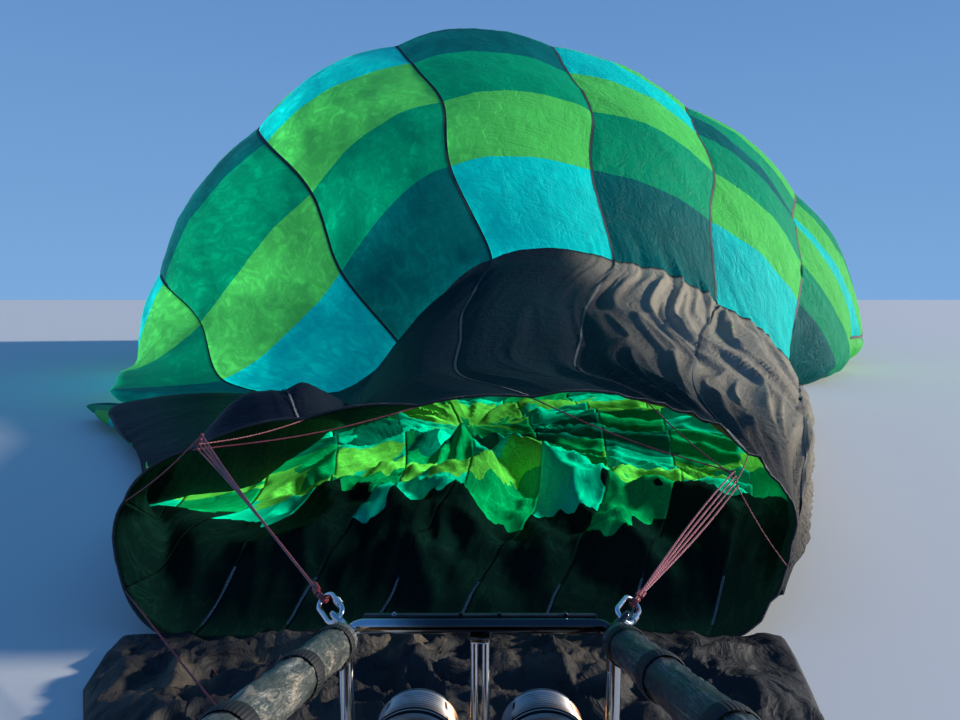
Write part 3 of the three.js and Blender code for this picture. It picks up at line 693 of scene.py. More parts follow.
class Work:
    """A mesh in the making, in the layout's metres, with a metre map named cloth."""

    def __init__(self) -> None:
        """Starts an empty mesh."""
        self.bm = bmesh.new()
        self.uv = self.bm.loops.layers.uv.new("cloth")

    def tube(self, path: Sequence[Vector], radius: float | Callable[[int], float], sides: int = 12,
             closed: bool = False, flat: float = 1.0, up: Vector | None = None) -> None:
        """Adds a tube along a path, bent from a grid.

        Args:
            path: The centre line.
            radius: Its radius, or a function that gives one for each path point.
            sides: How many faces go round.
            closed: True where the last point joins the first.
            flat: The thickness against the width.
            up: The side that the width lies across, for a flat tube.
        """
        points = [Vector(p) for p in path]
        if closed:
            points.append(points[0].copy())
        count = len(points)
        frames, run = self.frames(points, closed, up)
        size = radius if callable(radius) else lambda i: radius
        made = bmesh.ops.create_grid(self.bm, x_segments=sides, y_segments=count - 1,
                                     size=0.5)["verts"]
        where = {}
        for vert in made:
            j = round((vert.co.x + 0.5) * sides)
            i = round((vert.co.y + 0.5) * (count - 1))
            where[vert] = (i, j)
        faces = {f for v in made for f in v.link_faces}
        for face in faces:
            for loop in face.loops:
                i, j = where[loop.vert]
                loop[self.uv].uv = (j / sides, run[i])
        for vert, (i, j) in where.items():
            angle = FULL_TURN * j / sides
            r = size(i % (count - 1) if closed else i)
            side, rise = frames[i]
            vert.co = points[i] + side * (r * math.cos(angle)) + rise * (r * flat * math.sin(angle))
        bmesh.ops.remove_doubles(self.bm, verts=made, dist=1e-6)
        if not closed:
            edges = {e for f in faces if f.is_valid for e in f.edges if e.is_boundary}
            bmesh.ops.holes_fill(self.bm, edges=list(edges), sides=0)

    @staticmethod
    def frames(points: Sequence[Vector], closed: bool,
               up: Vector | None) -> tuple[list[tuple[Vector, Vector]], list[float]]:
        """Carries a cross-section along a path without twist.

        Args:
            points: The path.
            closed: True where its ends are one point.
            up: The first side, or None.

        Returns:
            Two unit sides for each point, and the running length.
        """
        last = len(points) - 1
        tangents = []
        for i in range(last + 1):
            before = points[last - 1] if closed and i in (0, last) else points[max(i - 1, 0)]
            after = points[1] if closed and i in (0, last) else points[min(i + 1, last)]
            tangents.append((after - before).normalized())
        side = (up or tangents[0].orthogonal()).copy()
        frames, run = [], [0.0]
        for i, tangent in enumerate(tangents):
            base = up if up is not None else side
            side = (base - tangent * base.dot(tangent)).normalized()
            frames.append((side.copy(), tangent.cross(side)))
            if i:
                run.append(run[-1] + (points[i] - points[i - 1]).length)
        return frames, run

    def lathe(self, profile: Sequence[tuple[float, float]], centre: Place3,
              steps: int = 64) -> None:
        """Spins pairs of radius and Y round an axis parallel to Y.

        Args:
            profile: The outline; it may start and end on the axis.
            centre: A point of the axis.
            steps: How many faces go round.
        """
        x, _, z = centre
        verts = [self.bm.verts.new((x + r, y, z)) for r, y in profile]
        edges = [self.bm.edges.new(pair) for pair in zip(verts, verts[1:])]
        before = set(self.bm.verts) - set(verts)
        bmesh.ops.spin(self.bm, geom=verts + edges, cent=(x, 0, z), axis=(0, 1, 0), dvec=(0, 0, 0),
                       angle=FULL_TURN, steps=steps, use_merge=True, use_normal_flip=False,
                       use_duplicate=False)
        made = [v for v in self.bm.verts if v not in before]
        bmesh.ops.remove_doubles(self.bm, verts=made, dist=1e-6)

    def block(self, low: Place3, high: Place3, bevel: float = 0.002, segments: int = 2) -> None:
        """Adds a box with rounded edges between two corners."""
        lo, hi = Vector(low), Vector(high)
        matrix = Matrix.Translation((lo + hi) / 2) @ Matrix.Diagonal((*(hi - lo), 1))
        verts = bmesh.ops.create_cube(self.bm, size=1, matrix=matrix)["verts"]
        edges = list({e for v in verts for e in v.link_edges})
        bmesh.ops.bevel(self.bm, geom=edges, offset=bevel, offset_type="OFFSET", affect="EDGES",
                        segments=segments, profile=0.5, material=-1, clamp_overlap=True)

    def ball(self, centre: Sequence[float], radius: float) -> None:
        """Adds a small sphere."""
        bmesh.ops.create_uvsphere(self.bm, u_segments=12, v_segments=8, radius=radius,
                                  matrix=Matrix.Translation(Vector(centre)))

    def ring(self, centre: Sequence[float], radius: float, tube: float, axis: Vector,
             steps: int = 32, sides: int = 10) -> None:
        """Adds a torus about an axis."""
        a = Vector(axis).normalized()
        u = a.orthogonal().normalized()
        v = a.cross(u)
        self.tube(circle(Vector(centre), u, v, radius, steps), tube, sides, closed=True)

    def rod(self, start: Sequence[float], end: Sequence[float], radius: float, sides: int = 16,
            end_radius: float | None = None) -> None:
        """Adds a straight round rod that may taper."""
        tip = radius if end_radius is None else end_radius
        self.tube([Vector(start), Vector(end)], lambda i: tip if i else radius, sides)

    def piece(self, name: str, body: Body, slot: str, materials: Sequence[bpy.types.Material],
              replaces: Sequence[str] = (), sharp: float = 42.0,
              recalculate: bool = True) -> bpy.types.Object:
        """Ends the mesh as a piece that rides on a body.

        Args:
            name: The piece's name.
            body: What it rides on.
            slot: The record's material slot; not used.
            materials: Its materials.
            replaces: The CAD nodes that it stands for.
            sharp: The angle in degrees past which an edge stays sharp.
            recalculate: False where the faces already point out.

        Returns:
            The object.
        """
        if recalculate:
            bmesh.ops.recalc_face_normals(self.bm, faces=self.bm.faces)
        bmesh.ops.translate(self.bm, verts=self.bm.verts, vec=PLACE)
        mesh = bpy.data.meshes.new(name)
        self.bm.to_mesh(mesh)
        self.bm.free()
        return add_piece(mesh, name, body, materials, replaces, sharp)


def add_piece(mesh: bpy.types.Mesh, name: str, body: Body,
              materials: Sequence[bpy.types.Material], replaces: Sequence[str] = (),
              sharp: float = 42.0) -> bpy.types.Object:
    """Makes a finished mesh a piece of the balloon.

    Args:
        mesh: The mesh, in its final place.
        name: The piece's name.
        body: What it rides on.
        materials: Its materials.
        replaces: The CAD nodes that it stands for.
        sharp: The angle in degrees past which an edge stays sharp.

    Returns:
        The object.
    """
    for material in materials:
        mesh.materials.append(material)
    mesh.shade_smooth()
    mesh.set_sharp_from_angle(angle=math.radians(sharp))
    piece = bpy.data.objects.new(name, mesh)
    bpy.context.scene.collection.objects.link(piece)
    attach(piece, body.value)
    if replaces:
        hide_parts(*replaces)
    LOG.info("%s: %d faces on %s", name, len(mesh.polygons), body.value)
    return piece


def thicken(piece: bpy.types.Object, offset: float, inside: int = 0) -> None:
    """Gives a sheet the thickness of cloth, and its inside the next material if asked."""
    solid = piece.modifiers.new("thickness", "SOLIDIFY")
    solid.thickness, solid.offset, solid.material_offset = CLOTH_THICK, offset, inside


def flat_grid(name: str, columns: int, rows: int) -> tuple[bpy.types.Mesh, np.ndarray]:
    """Makes a flat grid to be laid as cloth.

    Args:
        name: The mesh's name.
        columns: Faces across.
        rows: Faces along.

    Returns:
        The mesh, and the place of each vertex across and along, from 0 to 1.
    """
    bm = bmesh.new()
    bmesh.ops.create_grid(bm, x_segments=columns, y_segments=rows, size=0.5)
    mesh = bpy.data.meshes.new(name)
    bm.to_mesh(mesh)
    bm.free()
    flat = np.empty(len(mesh.vertices) * 3)
    mesh.vertices.foreach_get("co", flat)
    return mesh, flat.reshape(-1, 3)[:, :2] + 0.5


def lay(mesh: bpy.types.Mesh, points: np.ndarray, maps: dict[str, np.ndarray]) -> None:
    """Moves a grid's vertices to their points and gives it its maps.

    Args:
        mesh: The grid.
        points: A point of the layout for each vertex.
        maps: A pair of numbers for each vertex, by the name of the map.
    """
    mesh.vertices.foreach_set("co", (points + np.array(PLACE)).ravel())
    corners = np.empty(len(mesh.loops), dtype=np.int32)
    mesh.loops.foreach_get("vertex_index", corners)
    for layer, values in maps.items():
        mesh.uv_layers.new(name=layer).data.foreach_set("uv", values[corners].ravel())
    mesh.update()


@dataclass(frozen=True)
class Section:
    """One ring of the envelope, a low arch on a flat floor, in metres."""

    y: float
    x: float
    half: float
    apex: float
    top: float
    slack: float
    power: float
    left: float
    ease: float
    right: float
    corner: float
    tilt: float
    share: float
    lean: float = 0.0
    bottom: float = 0.0

    def outline(self, steps: int = 64) -> tuple[np.ndarray, np.ndarray]:
        """The ring from its top, towards +X and round, with its running length."""
        a = np.radians(np.linspace(0, 90, steps + 1))
        sin, cos = np.sin(a), np.clip(np.cos(a), 0, 1)
        arcs = [
            (self.apex + (self.half - self.apex) * sin,
             self.right + (self.top - self.right) * cos ** (2 * self.ease)),
            (self.half - self.corner + self.corner * cos,
             self.right - (self.right - self.bottom) * sin),
            (self.corner - self.half - self.corner * sin,
             self.left - (self.left - self.bottom) * cos),
            (self.apex - (self.half + self.apex) * cos,
             self.left + (self.top - self.left) * (1 - cos ** self.power) ** self.slack),
        ]
        points = np.concatenate([np.stack(arc, 1) for arc in arcs])
        run = np.concatenate([[0], np.cumsum(np.hypot(*np.diff(points, axis=0).T))])
        return points, run


@dataclass
class Envelope:
    """The cloth balloon: sixteen gores, their tapes, the lip, the crown and the valve."""

    gores: int = 16
    top_gores: int = 7
    lobe: float = 0.045
    pivot_x: float = 0.7
    crown: Place3 = (0.7, 23.65, 2.3)
    valve_r: float = 1.95
    tape_half: float = 0.017
    gather: tuple[float, float] = (-0.1, 7.0)
    tucked: float = 0.62
    top_flat: tuple[float, float] = (3.34, 26.7)
    floor_flat: tuple[float, float] = (1.75, 25.5)
    sections: tuple[Section, ...] = (
        Section(2.35, -0.12, 1.5, 0.62, 1.02, 0.4, 2, 0.45, 0.5, 0.45, 0.35, 0, 0.52, lean=0.3),
        Section(3.9, -0.06, 2.2, 0.31, 1.02, 15, 4, 0.18, 0.6, 0.4, 0.45, 0, 0.56),
        Section(5.5, 0, 2.9, 0.35, 1.12, 28, 4, 0.18, 0.7, 0.35, 0.45, 0.05, 0.58),
        Section(7.1, 0, 3.7, 0.5, 1.4, 50, 4, 0.18, 0.8, 0.32, 0.45, 0.12, 0.59),
        Section(8.4, 0, 4.3, 0.8, 1.75, 60, 4, 0.19, 0.8, 0.3, 0.45, 0.22, 0.6),
        Section(9.15, 0.03, 4.63, 0.97, 2.03, 90, 4, 0.2, 0.8, 0.3, 0.45, 0.28, 0.6),
        Section(9.85, 0.67, 5.27, -0.07, 3.37, 6.5, 3, 0.3, 0.78, 0.3, 0.45, 0.3, 0.61),
        Section(10.85, 0.95, 5.85, -0.35, 4.5, 1.9, 2.5, 0.4, 0.75, 0.3, 0.5, 0.3, 0.61),
        Section(12.15, 1.2, 6.4, -1.0, 5.45, 0.68, 2, 0.5, 0.7, 0.4, 0.6, 0.28, 0.61),
        Section(13.65, 0.96, 7.11, -1.06, 6.35, 0.68, 2, 0.8, 0.8, 0.4, 0.7, 0.12, 0.61),
        Section(16.15, 0.85, 7.65, -0.85, 6.75, 0.6, 2, 1.4, 0.62, 1.2, 1.4, 0, 0.6),
        Section(18.6, 0.8, 7.2, -0.6, 6.6, 0.55, 2, 1.7, 0.55, 1.7, 1.8, 0, 0.59),
        Section(20.7, 0.75, 6.2, -0.4, 6.25, 0.52, 2, 1.9, 0.52, 1.9, 2.2, 0, 0.56),
        Section(22.2, 0.72, 4.95, -0.2, 5.75, 0.5, 2, 2.0, 0.5, 2.0, 2.5, 0, 0.52),
        Section(23.05, 0.7, 3.8, 0, 5.25, 0.5, 2, 2.15, 0.5, 2.15, 2.7, 0, 0.48),
        Section(23.52, 0.7, 2.65, 0, 4.75, 0.5, 2, 2.3, 0.5, 2.3, 2.55, 0, 0.45, bottom=0.09),
        Section(23.65, 0.7, 1.75, 0, 4.05, 0.5, 2, 2.3, 0.5, 2.3, 1.75, 0, 7 / 16, bottom=0.55),
    )
    steps: tuple[int, ...] = (26, 26, 26, 22, 12, 14, 15, 16, 16, 16, 12, 12, 10, 8, 6, 5)
    rows: np.ndarray = field(init=False, repr=False)

    def __post_init__(self) -> None:
        """Works out the row number of every ring of the fine grid."""
        parts = [i + np.arange(n) / n for i, n in enumerate(self.steps)]
        self.rows = np.concatenate([*parts, [len(self.steps)]])

    def rings(self, places: np.ndarray) -> np.ndarray:
        """Points of every section at places counted in gores from the top."""
        edge, found = self.top_gores / 2, []
        wrapped = np.mod(places, self.gores)
        on_floor = self.gores - self.top_gores
        for s in self.sections:
            share = np.where(wrapped <= edge, s.share * wrapped / self.top_gores,
                             s.share / 2 + (1 - s.share) * (wrapped - edge) / on_floor)
            share = np.where(wrapped >= self.gores - edge,
                             1 - s.share * (self.gores - wrapped) / self.top_gores, share)
            points, run = s.outline()
            x = np.interp(share * run[-1], run, points[:, 0])
            z = np.interp(share * run[-1], run, points[:, 1])
            back = s.lean * z / s.top + s.tilt * (s.x + x - self.pivot_x)
            found.append(np.stack([s.x + x, s.y + back, z], -1))
        return np.array(found)

    def skin(self, places: np.ndarray) -> np.ndarray:
        """The sections joined by smooth curves along the cloth.

        Args:
            places: Places round the girth, in gores from the top.

        Returns:
            Points, one row for each ring of the fine grid.
        """
        p = self.rings(places)
        p = np.concatenate([[2 * p[0] - p[1]], p, [2 * p[-1] - p[-2]]])
        gap = np.linalg.norm(np.diff(p, axis=0), axis=-1, keepdims=True)
        out = []
        for i, n in enumerate(self.steps):
            p0, p1, p2, p3 = p[i:i + 4]
            h0, h1, h2 = gap[i:i + 3]
            start = ((p1 - p0) / h0 * h1 + (p2 - p1) / h1 * h0) / (h0 + h1) * h1
            end = ((p2 - p1) / h1 * h2 + (p3 - p2) / h2 * h1) / (h1 + h2) * h1
            for t in np.arange(n) / n:
                out.append((2 * t ** 3 - 3 * t ** 2 + 1) * p1 + (t ** 3 - 2 * t ** 2 + t) * start
                           + (3 * t ** 2 - 2 * t ** 3) * p2 + (t ** 3 - t ** 2) * end)
        out.append(p[-2])
        return np.array(out)

    def cloth(self, centre: float, across: np.ndarray,
              lift: float = 0.0) -> tuple[np.ndarray, np.ndarray]:
        """The outside of one gore with its billow, folds and creases.

        Args:
            centre: The gore's place.
            across: Places across it, from 0 to 1.
            lift: How far the surface stands off the cloth.

        Returns:
            Points, and the running length along the cloth.
        """
        places = centre - 0.5 + across
        mid = self.skin(places)
        around = self.skin(places + 0.05) - self.skin(places - 0.05)
        normal = np.cross(around, np.gradient(mid, axis=0))
        normal /= np.linalg.norm(normal, axis=-1, keepdims=True)
        normal[-1] = (0, 1, 0)
        ends = self.skin(np.array([centre - 0.5, centre + 0.5]))
        width = np.linalg.norm(ends[:, 1] - ends[:, 0], axis=-1)[:, None]
        step = np.linalg.norm(np.diff(mid, axis=0), axis=-1)
        run = np.concatenate([np.zeros((1, mid.shape[1])), np.cumsum(step, axis=0)])
        row = self.rows[:, None] + 0 * run
        bulge = np.clip(4 * across * (1 - across), 0, 1)
        billow = self.lobe * width * bulge * np.clip(len(self.steps) - row, 0, 1)
        rise = billow * smoothstep(normal[..., 2], -0.4, 0.1)
        rise = rise + self.folds(places[None, :] + 0 * run, row, run, width)
        floor = smoothstep(-normal[..., 2], 0.55, 0.95) * smoothstep(-mid[..., 2], -0.35, -0.05)
        points = mid + normal * ((rise + lift) * (1 - floor))[..., None]
        points[..., 2] += floor * (self.pleats(points[..., 0], points[..., 1]) - lift)
        points[..., 2] += self.hump(points) * smoothstep(normal[..., 2], 0.0, 0.3)
        points[..., 2] = np.maximum(points[..., 2], 0.0)
        return points, run

    @staticmethod
    def hump(points: np.ndarray) -> np.ndarray:
        """How far the slack cloth bulges up just behind the upper lip, left of its middle."""
        x, y = points[..., 0], points[..., 1]
        wide = smoothstep(x, -1.62, -1.2) * (1 - smoothstep(x, -0.96, -0.66))
        return 0.37 * wide * smoothstep(y, 2.6, 3.15) * (1 - smoothstep(y, 3.3, 4.7))

    def folds(self, place: np.ndarray, row: np.ndarray, run: np.ndarray,
              width: np.ndarray) -> np.ndarray:
        """Folds and creases over the top and sides, in metres off the skin."""
        girth = place * np.maximum(width, 1.0)
        neck = 1 - smoothstep(row, 4.6, 5.6)
        right = smoothstep(place, -0.3, 1.2)
        drift = 0.8 * ripple(run * 0.4, girth * 0.3, 5.0)
        long_folds = (1 - np.abs(ripple(girth * 4.2 + drift, run * 0.35, 2.0))) ** 2 - 0.5
        fine_folds = (1 - np.abs(ripple(girth * 8.5 + 2 * drift, run * 0.6, 6.0))) ** 2
        long_folds += 0.5 * fine_folds - 0.25
        soft = ripple(girth * 0.8, run * 0.6, 8.0)
        crush = crumple(girth * 0.9, run * 0.9, 4.0, 4) - 0.5
        edge = (0.3 + 0.7 * smoothstep(row, 0.0, 0.5)) * (1 - smoothstep(row, 14.5, 15.8))
        in_neck = long_folds * (0.008 + 0.095 * right) + soft * 0.045
        in_panels = crush * 0.045 + soft * 0.02
        return edge * (neck * in_neck + (1 - neck) * in_panels)

    def pleats(self, x: np.ndarray, y: np.ndarray) -> np.ndarray:
        """How high the cloth on the ground stands in its pleats, which spread from one point."""
        px, py = self.gather
        dx, dy = x - px, py - y
        reach = np.hypot(dx, dy)
        angle = np.arctan2(dx, dy)
        phase = angle * 15 + 5.0 * ripple(angle * 3, reach * 0.45, 3.0)
        uneven = 0.45 + 0.75 * np.abs(ripple(angle * 5, reach * 0.8, 12))
        comb = (0.5 + 0.5 * np.cos(phase)) ** 1.3 * uneven
        comb = comb + 0.3 * (0.5 + 0.5 * np.cos(angle * 43 + 4 * ripple(angle * 6, reach, 15)))
        tall = 0.2 * smoothstep(reach, 0.0, 1.3) * (1 - 0.75 * smoothstep(reach, 3.8, 5.2))
        tall = tall * (1 - 0.7 * smoothstep(y, 7.5, 9.0))
        by_mouth = 1 - smoothstep(y, 4.0, 6.0)
        crush = crumple(x * 1.3, y * 1.3, 6.0, 4)
        crush = crush + 1.7 * by_mouth * crumple(x * 2.3 + 0.4 * y, y * 1.3, 21.0, 4)
        lifted = tall * comb + 0.11 * crush
        lifted = lifted * smoothstep(y, 2.4, 3.0) * (1 - smoothstep(y, 19, 23))
        return np.minimum(lifted, self.tucked * self.ceiling(x, y))

    def ceiling(self, x: np.ndarray, y: np.ndarray) -> np.ndarray:
        """How high the slack cloth of the left side lies over a point of the ground."""
        ys = [s.y for s in self.sections]
        middle, half, apex, top, slack, power, left = (
            np.interp(y, ys, [getattr(s, key) for s in self.sections])
            for key in ("x", "half", "apex", "top", "slack", "power", "left"))
        away = np.clip((apex + middle - x) / (half + apex), 0, 1)
        return left + (top - left) * (1 - away ** power) ** slack

    def bands(self, odd: bool, neck: Dye = Dye.BLACK) -> tuple[Band, ...]:
        """Where each panel of a gore starts, in rows, with its colour."""
        cycle = (Dye.CYAN, Dye.LIME, Dye.GREEN, Dye.DARK) if odd else (
            Dye.DARK, Dye.GREEN, Dye.LIME, Dye.CYAN)
        order = [*cycle, *cycle[2::-1], *cycle[1:], cycle[3]]
        starts = (5, 6, 7, 8, 9, 9.5, 10, 10.5, 11, 12, 13.4)
        return ((0.0, neck.value), *((s, d.value) for s, d in zip(starts, order)))

    def floor_bands(self, odd: bool, shift: float, neck: Dye) -> tuple[Band, ...]:
        """The same for a gore on the ground, whose cloth is drawn in towards the mouth."""
        cycle = (Dye.CYAN, Dye.LIME, Dye.GREEN, Dye.DARK) if odd else (
            Dye.GREEN, Dye.LIME, Dye.CYAN, Dye.DARK)
        order = [*cycle, *cycle, *cycle]
        starts = (0.72, 1.2, 1.65, 2.1, 2.6, 3.2, 4.0, 5.0, 6.0, 7.2, 9.0, 11)
        return ((0.0, neck.value), *((s + shift, d.value) for s, d in zip(starts, order)))

    def strip(self, name: str, columns: int, points: np.ndarray, across: np.ndarray,
              run: np.ndarray, metres: np.ndarray) -> bpy.types.Mesh:
        """Bends a flat grid over a table of points and gives it its two maps.

        Args:
            name: The mesh's name.
            columns: Faces across.
            points: The table, rings by columns.
            across: The panel map's first number for each column.
            run: The running length of each point.
            metres: The distance across of each point.

        Returns:
            The mesh, in its final place.
        """
        count = points.shape[0] - 1
        mesh, places = flat_grid(name, columns, count)
        j, i = np.rint(places * (columns, count)).astype(int).T
        lay(mesh, points[i, j], {
            "panel": np.stack([across[j], self.rows[i] / len(self.steps)], -1),
            "cloth": np.stack([metres[i, j], run[i, j]], -1),
        })
        return mesh

    def place_of(self, i: int) -> int:
        """A gore's place, counted so that the count breaks on the ground."""
        return i if i <= self.gores // 2 else i - self.gores

    def build_gores(self) -> None:
        """Builds the sixteen gores as thin double-sided cloth."""
        for i in range(self.gores):
            name = f"gore_{i + 1:02d}"
            centre = self.place_of(i)
            on_top = abs(centre) <= self.top_gores // 2
            columns = (60 if centre >= 0 else 40) if on_top else 22
            across = np.linspace(0, 1, columns + 1)
            points, run = self.cloth(centre, across)
            width = 3.2 if on_top else 1.7
            metres = (centre + across[None, :]) * width + 0 * run
            mesh = self.strip(f"{name}_cloth", columns, points, across, run, metres)
            odd = i % 2 == 0
            shift = 0.2 * math.sin(i * 2.3)
            sunny = 0.3 + 0.22 * max(-1, min(3, centre))
            if on_top:
                # the neck lining inside is painted sunlit on the gores towards +X and painted shade
                # on the rest
                lining = Dye.SUNLIT_LINING if centre > 0 else Dye.SHADE
                # painted light: the outside glows most on faces turned to -X, away from the sun,
                # and less on the gores towards +X
                outside = PanelCloth(f"{name}_outside", self.bands(odd),
                                     1.75 - 0.4 * max(0, centre), sunny,
                                     light=(-0.95, -0.3, 0.05), least=0.2,
                                     neck_dark=True).material()
                within = self.bands(odd, lining) if abs(centre) < 2 else self.floor_bands(
                    odd, shift + 0.8 * (centre < 0), Dye.SHADE)
                inside = PanelCloth(f"{name}_inside", within, 1.0, 0.8,
                                    through=(1.1, 1.0, 0.55)).material()
            else:
                # painted light: the ground gores glow a little outside and strongly inside,
                # brightest on pleat faces turned to the light direction
                outside = PanelCloth(f"{name}_outside", self.floor_bands(odd, shift, Dye.BLACK),
                                     0.1, 0.6, 0.3).material()
                inside = PanelCloth(f"{name}_inside", self.floor_bands(odd, shift, Dye.SHADE),
                                    2.8, 1.0, 0.3, light=(0.62, 0.45, 0.64), grazing=0.25,
                                    least=0.05, through=(1.1, 1.0, 0.55), rays=True).material()
            piece = add_piece(mesh, f"{name}_cloth", Body.ROOT, [outside, inside],
                              [name], 180)
            thicken(piece, -1, inside=1)
            width, length = self.top_flat if on_top else self.floor_flat
            0.61 * width * length

    def build_tapes(self) -> None:
        """Builds the load tapes on the seams, with stitching near the lip."""
        finish = Webbing("load_tape_woven", srgb(22, 34, 40), 0.42, self.tape_half).material()
        count = 3
        for i in range(self.gores):
            centre = self.place_of(i)
            seams = self.skin(np.array([centre, centre + 1.0]))
            wide = np.linalg.norm(np.diff(seams, axis=1)[:, 0], axis=-1).mean()
            reach = self.tape_half / wide
            across = 1 + np.linspace(-reach, reach, count)
            points, run = self.cloth(centre, across, lift=0.006)
            metres = np.linspace(-self.tape_half, self.tape_half, count)[None, :] + 0 * run
            name = f"load_tape_{i + 1:02d}"
            mesh = self.strip(name, count - 1, points, across, run, metres)
            add_piece(mesh, name, Body.ROOT, [finish], sharp=180)
            if points[0, 0, 2] > 0.02:
                continue
            points, run = self.cloth(centre, across, lift=-0.005)
            ends = slice(2, 8)
            name = f"tape_end_{i + 1:02d}"
            mesh = self.strip(name, count - 1, points[ends], across, run[ends], metres[ends])
            add_piece(mesh, name, Body.ROOT, [finish], sharp=180)

    def build_lip(self) -> None:
        """Builds the rolled hem round the mouth."""
        work = Work()
        path = []
        for i in range(-8, 8):
            points, _ = self.cloth(i, np.linspace(0, 1, 13)[:-1])
            path += [Vector(p) + Vector((0, 0, 0.004)) for p in points[0]]
        for point in path:
            point.z = max(point.z, 0.008)
        work.tube(path, 0.007, 8, closed=True)
        finish = Hide("hem_binding", srgb(18, 22, 28), srgb(70, 70, 70), amount=0.3)
        work.piece("mouth_hem", Body.ROOT, "load_tape", [finish.material()])

    def build_crown(self) -> None:
        """Builds the crown ring, its tapes and the parachute valve."""
        x, y, z = self.crown
        work = Work()
        work.ring((x, y - 0.005, z), 0.15, 0.0075, ALONG, 48, 12)
        steel = Metal("crown_ring_steel", (0.62, 0.63, 0.64), MetalLook.POLISHED, 0.12).material()
        work.piece("crown_ring_steel", Body.ROOT, "load_tape", [steel], ["crown_ring"])
        work = Work()
        for k in range(self.gores):
            angle = (k + 0.5) * FULL_TURN / self.gores
            out = Vector((math.sin(angle), 0, math.cos(angle)))
            path = [Vector(self.crown) + out * r + Vector((0, -0.004, 0))
                    for r in np.linspace(0.143, 1.755, 12)]
            work.tube(path, 0.024, 8, flat=0.09, up=out.cross(ALONG))
        work.piece("crown_tapes", Body.ROOT, "load_tape",
                   [Webbing("crown_tape_woven", srgb(28, 38, 44)).material()])
        self.build_valve()

    def build_valve(self) -> None:
        """Builds the parachute valve, a dish of twelve sewn sectors that billows a little."""
        x, y, z = self.crown
        seat, drop, flat_r = y - 0.016, 0.0515, self.valve_r - 0.25
        work = Work()
        profile = [(r, seat - 0.002) for r in np.linspace(0.0, flat_r, 18)]
        profile += [(r, seat - 0.002 - drop * (r - flat_r) / 0.25)
                    for r in np.linspace(1.75, self.valve_r, 5)]
        work.lathe(profile, (x, 0, z), 96)
        for vert in work.bm.verts:
            dx, dz = vert.co.x - x, vert.co.z - z
            radius, angle = math.hypot(dx, dz), math.atan2(dx, dz)
            seam = abs(math.cos(angle * 6)) ** 0.5
            vert.co.y -= 0.02 * (1 - seam) * min(1, radius) + 0.012 * math.sin(radius * 9) * seam
            vert.co.y = min(vert.co.y, seat)
        bmesh.ops.recalc_face_normals(work.bm, faces=work.bm.faces)
        for face in work.bm.faces:
            for loop in face.loops:
                loop[work.uv].uv = (loop.vert.co.x, loop.vert.co.z)
        cloth = Hide("valve_cloth", Dye.GREEN.value, Dye.CYAN.value, crease=0.02, crease_scale=4,
                     amount=0.4, roughness=0.45)
        piece = work.piece("parachute_cloth", Body.PARACHUTE, "valve_fabric", [cloth.material()],
                           ["parachute_valve"])
        thicken(piece, 0)

    def build(self) -> None:
        """Builds every piece of the envelope."""
        self.build_gores()
        self.build_tapes()
        self.build_lip()
        self.build_crown()


@dataclass
class Scoop:
    """The crushed cloth that lies on the ground from the lower lip to under the burner frame."""

    columns: int = 170
    count: int = 80
    rows: tuple[tuple[float, float, float, float], ...] = (
        (2.3497, -1.56, 1.32, 0.04), (2.2, -1.55, 1.3, 0.08), (1.95, -1.5, 1.25, 0.1),
        (1.5, -1.25, 1.15, 0.11), (1.05, -1.05, 1.0, 0.1),
    )

    def build(self) -> None:
        """Builds the sheet from a grid, crushed into ridges."""
        mesh, places = flat_grid("scoop_cloth", self.columns, self.count)
        u, v = places.T
        ys, *edges = np.array(self.rows)[::-1].T
        y = ys[0] + (ys[-1] - ys[0]) * v
        low, high, tall = (np.interp(y, ys, edge) for edge in edges)
        x = low + (high - low) * u
        ragged = 0.03 * ripple(x * 5, y * 0, 7.0) * (1 - smoothstep(v, 0.0, 0.3))
        bend = 0.6 * ripple(x * 1.7, y * 1.9, 31.0)
        long_fold = (1 - np.abs(ripple(x * 4.6 + bend * 2, y * 1.7 + bend, 1.0))) ** 3
        cross_fold = (1 - np.abs(ripple(x * 1.9 + y * 2.4 + bend, y * 4.2 - x * 1.6, 5.0))) ** 3
        fine = crumple(x * 6, y * 6, 3.0, 4)
        sharp = 0.22 + 0.36 * np.maximum(long_fold, 0.8 * cross_fold) + 0.3 * fine
        big = crumple(x * 0.9, y * 1.3, 11.0, 2)
        edge = np.sin(np.pi * np.clip(u, 0, 1)) ** 0.35 * smoothstep(v, -0.02, 0.06)
        z = 0.006 + edge * tall * (0.1 + 1.5 * smoothstep(sharp, 0.25, 0.85) + 0.8 * (big - 0.4))
        lay(mesh, np.stack([x, y + ragged, np.maximum(z, 0.002)], -1),
            {"cloth": np.stack([x, y], -1)})
        piece = add_piece(mesh, "scoop_cloth", Body.ROOT,
                          [CrushedCloth("scoop_weave").material()], ["scoop"], 180)
        thicken(piece, 1)


@dataclass(frozen=True)
class Corner:
    """A corner of the burner frame and the wires that it holds."""

    name: str
    sx: int
    sz: int
    first: float
    gather: Place3


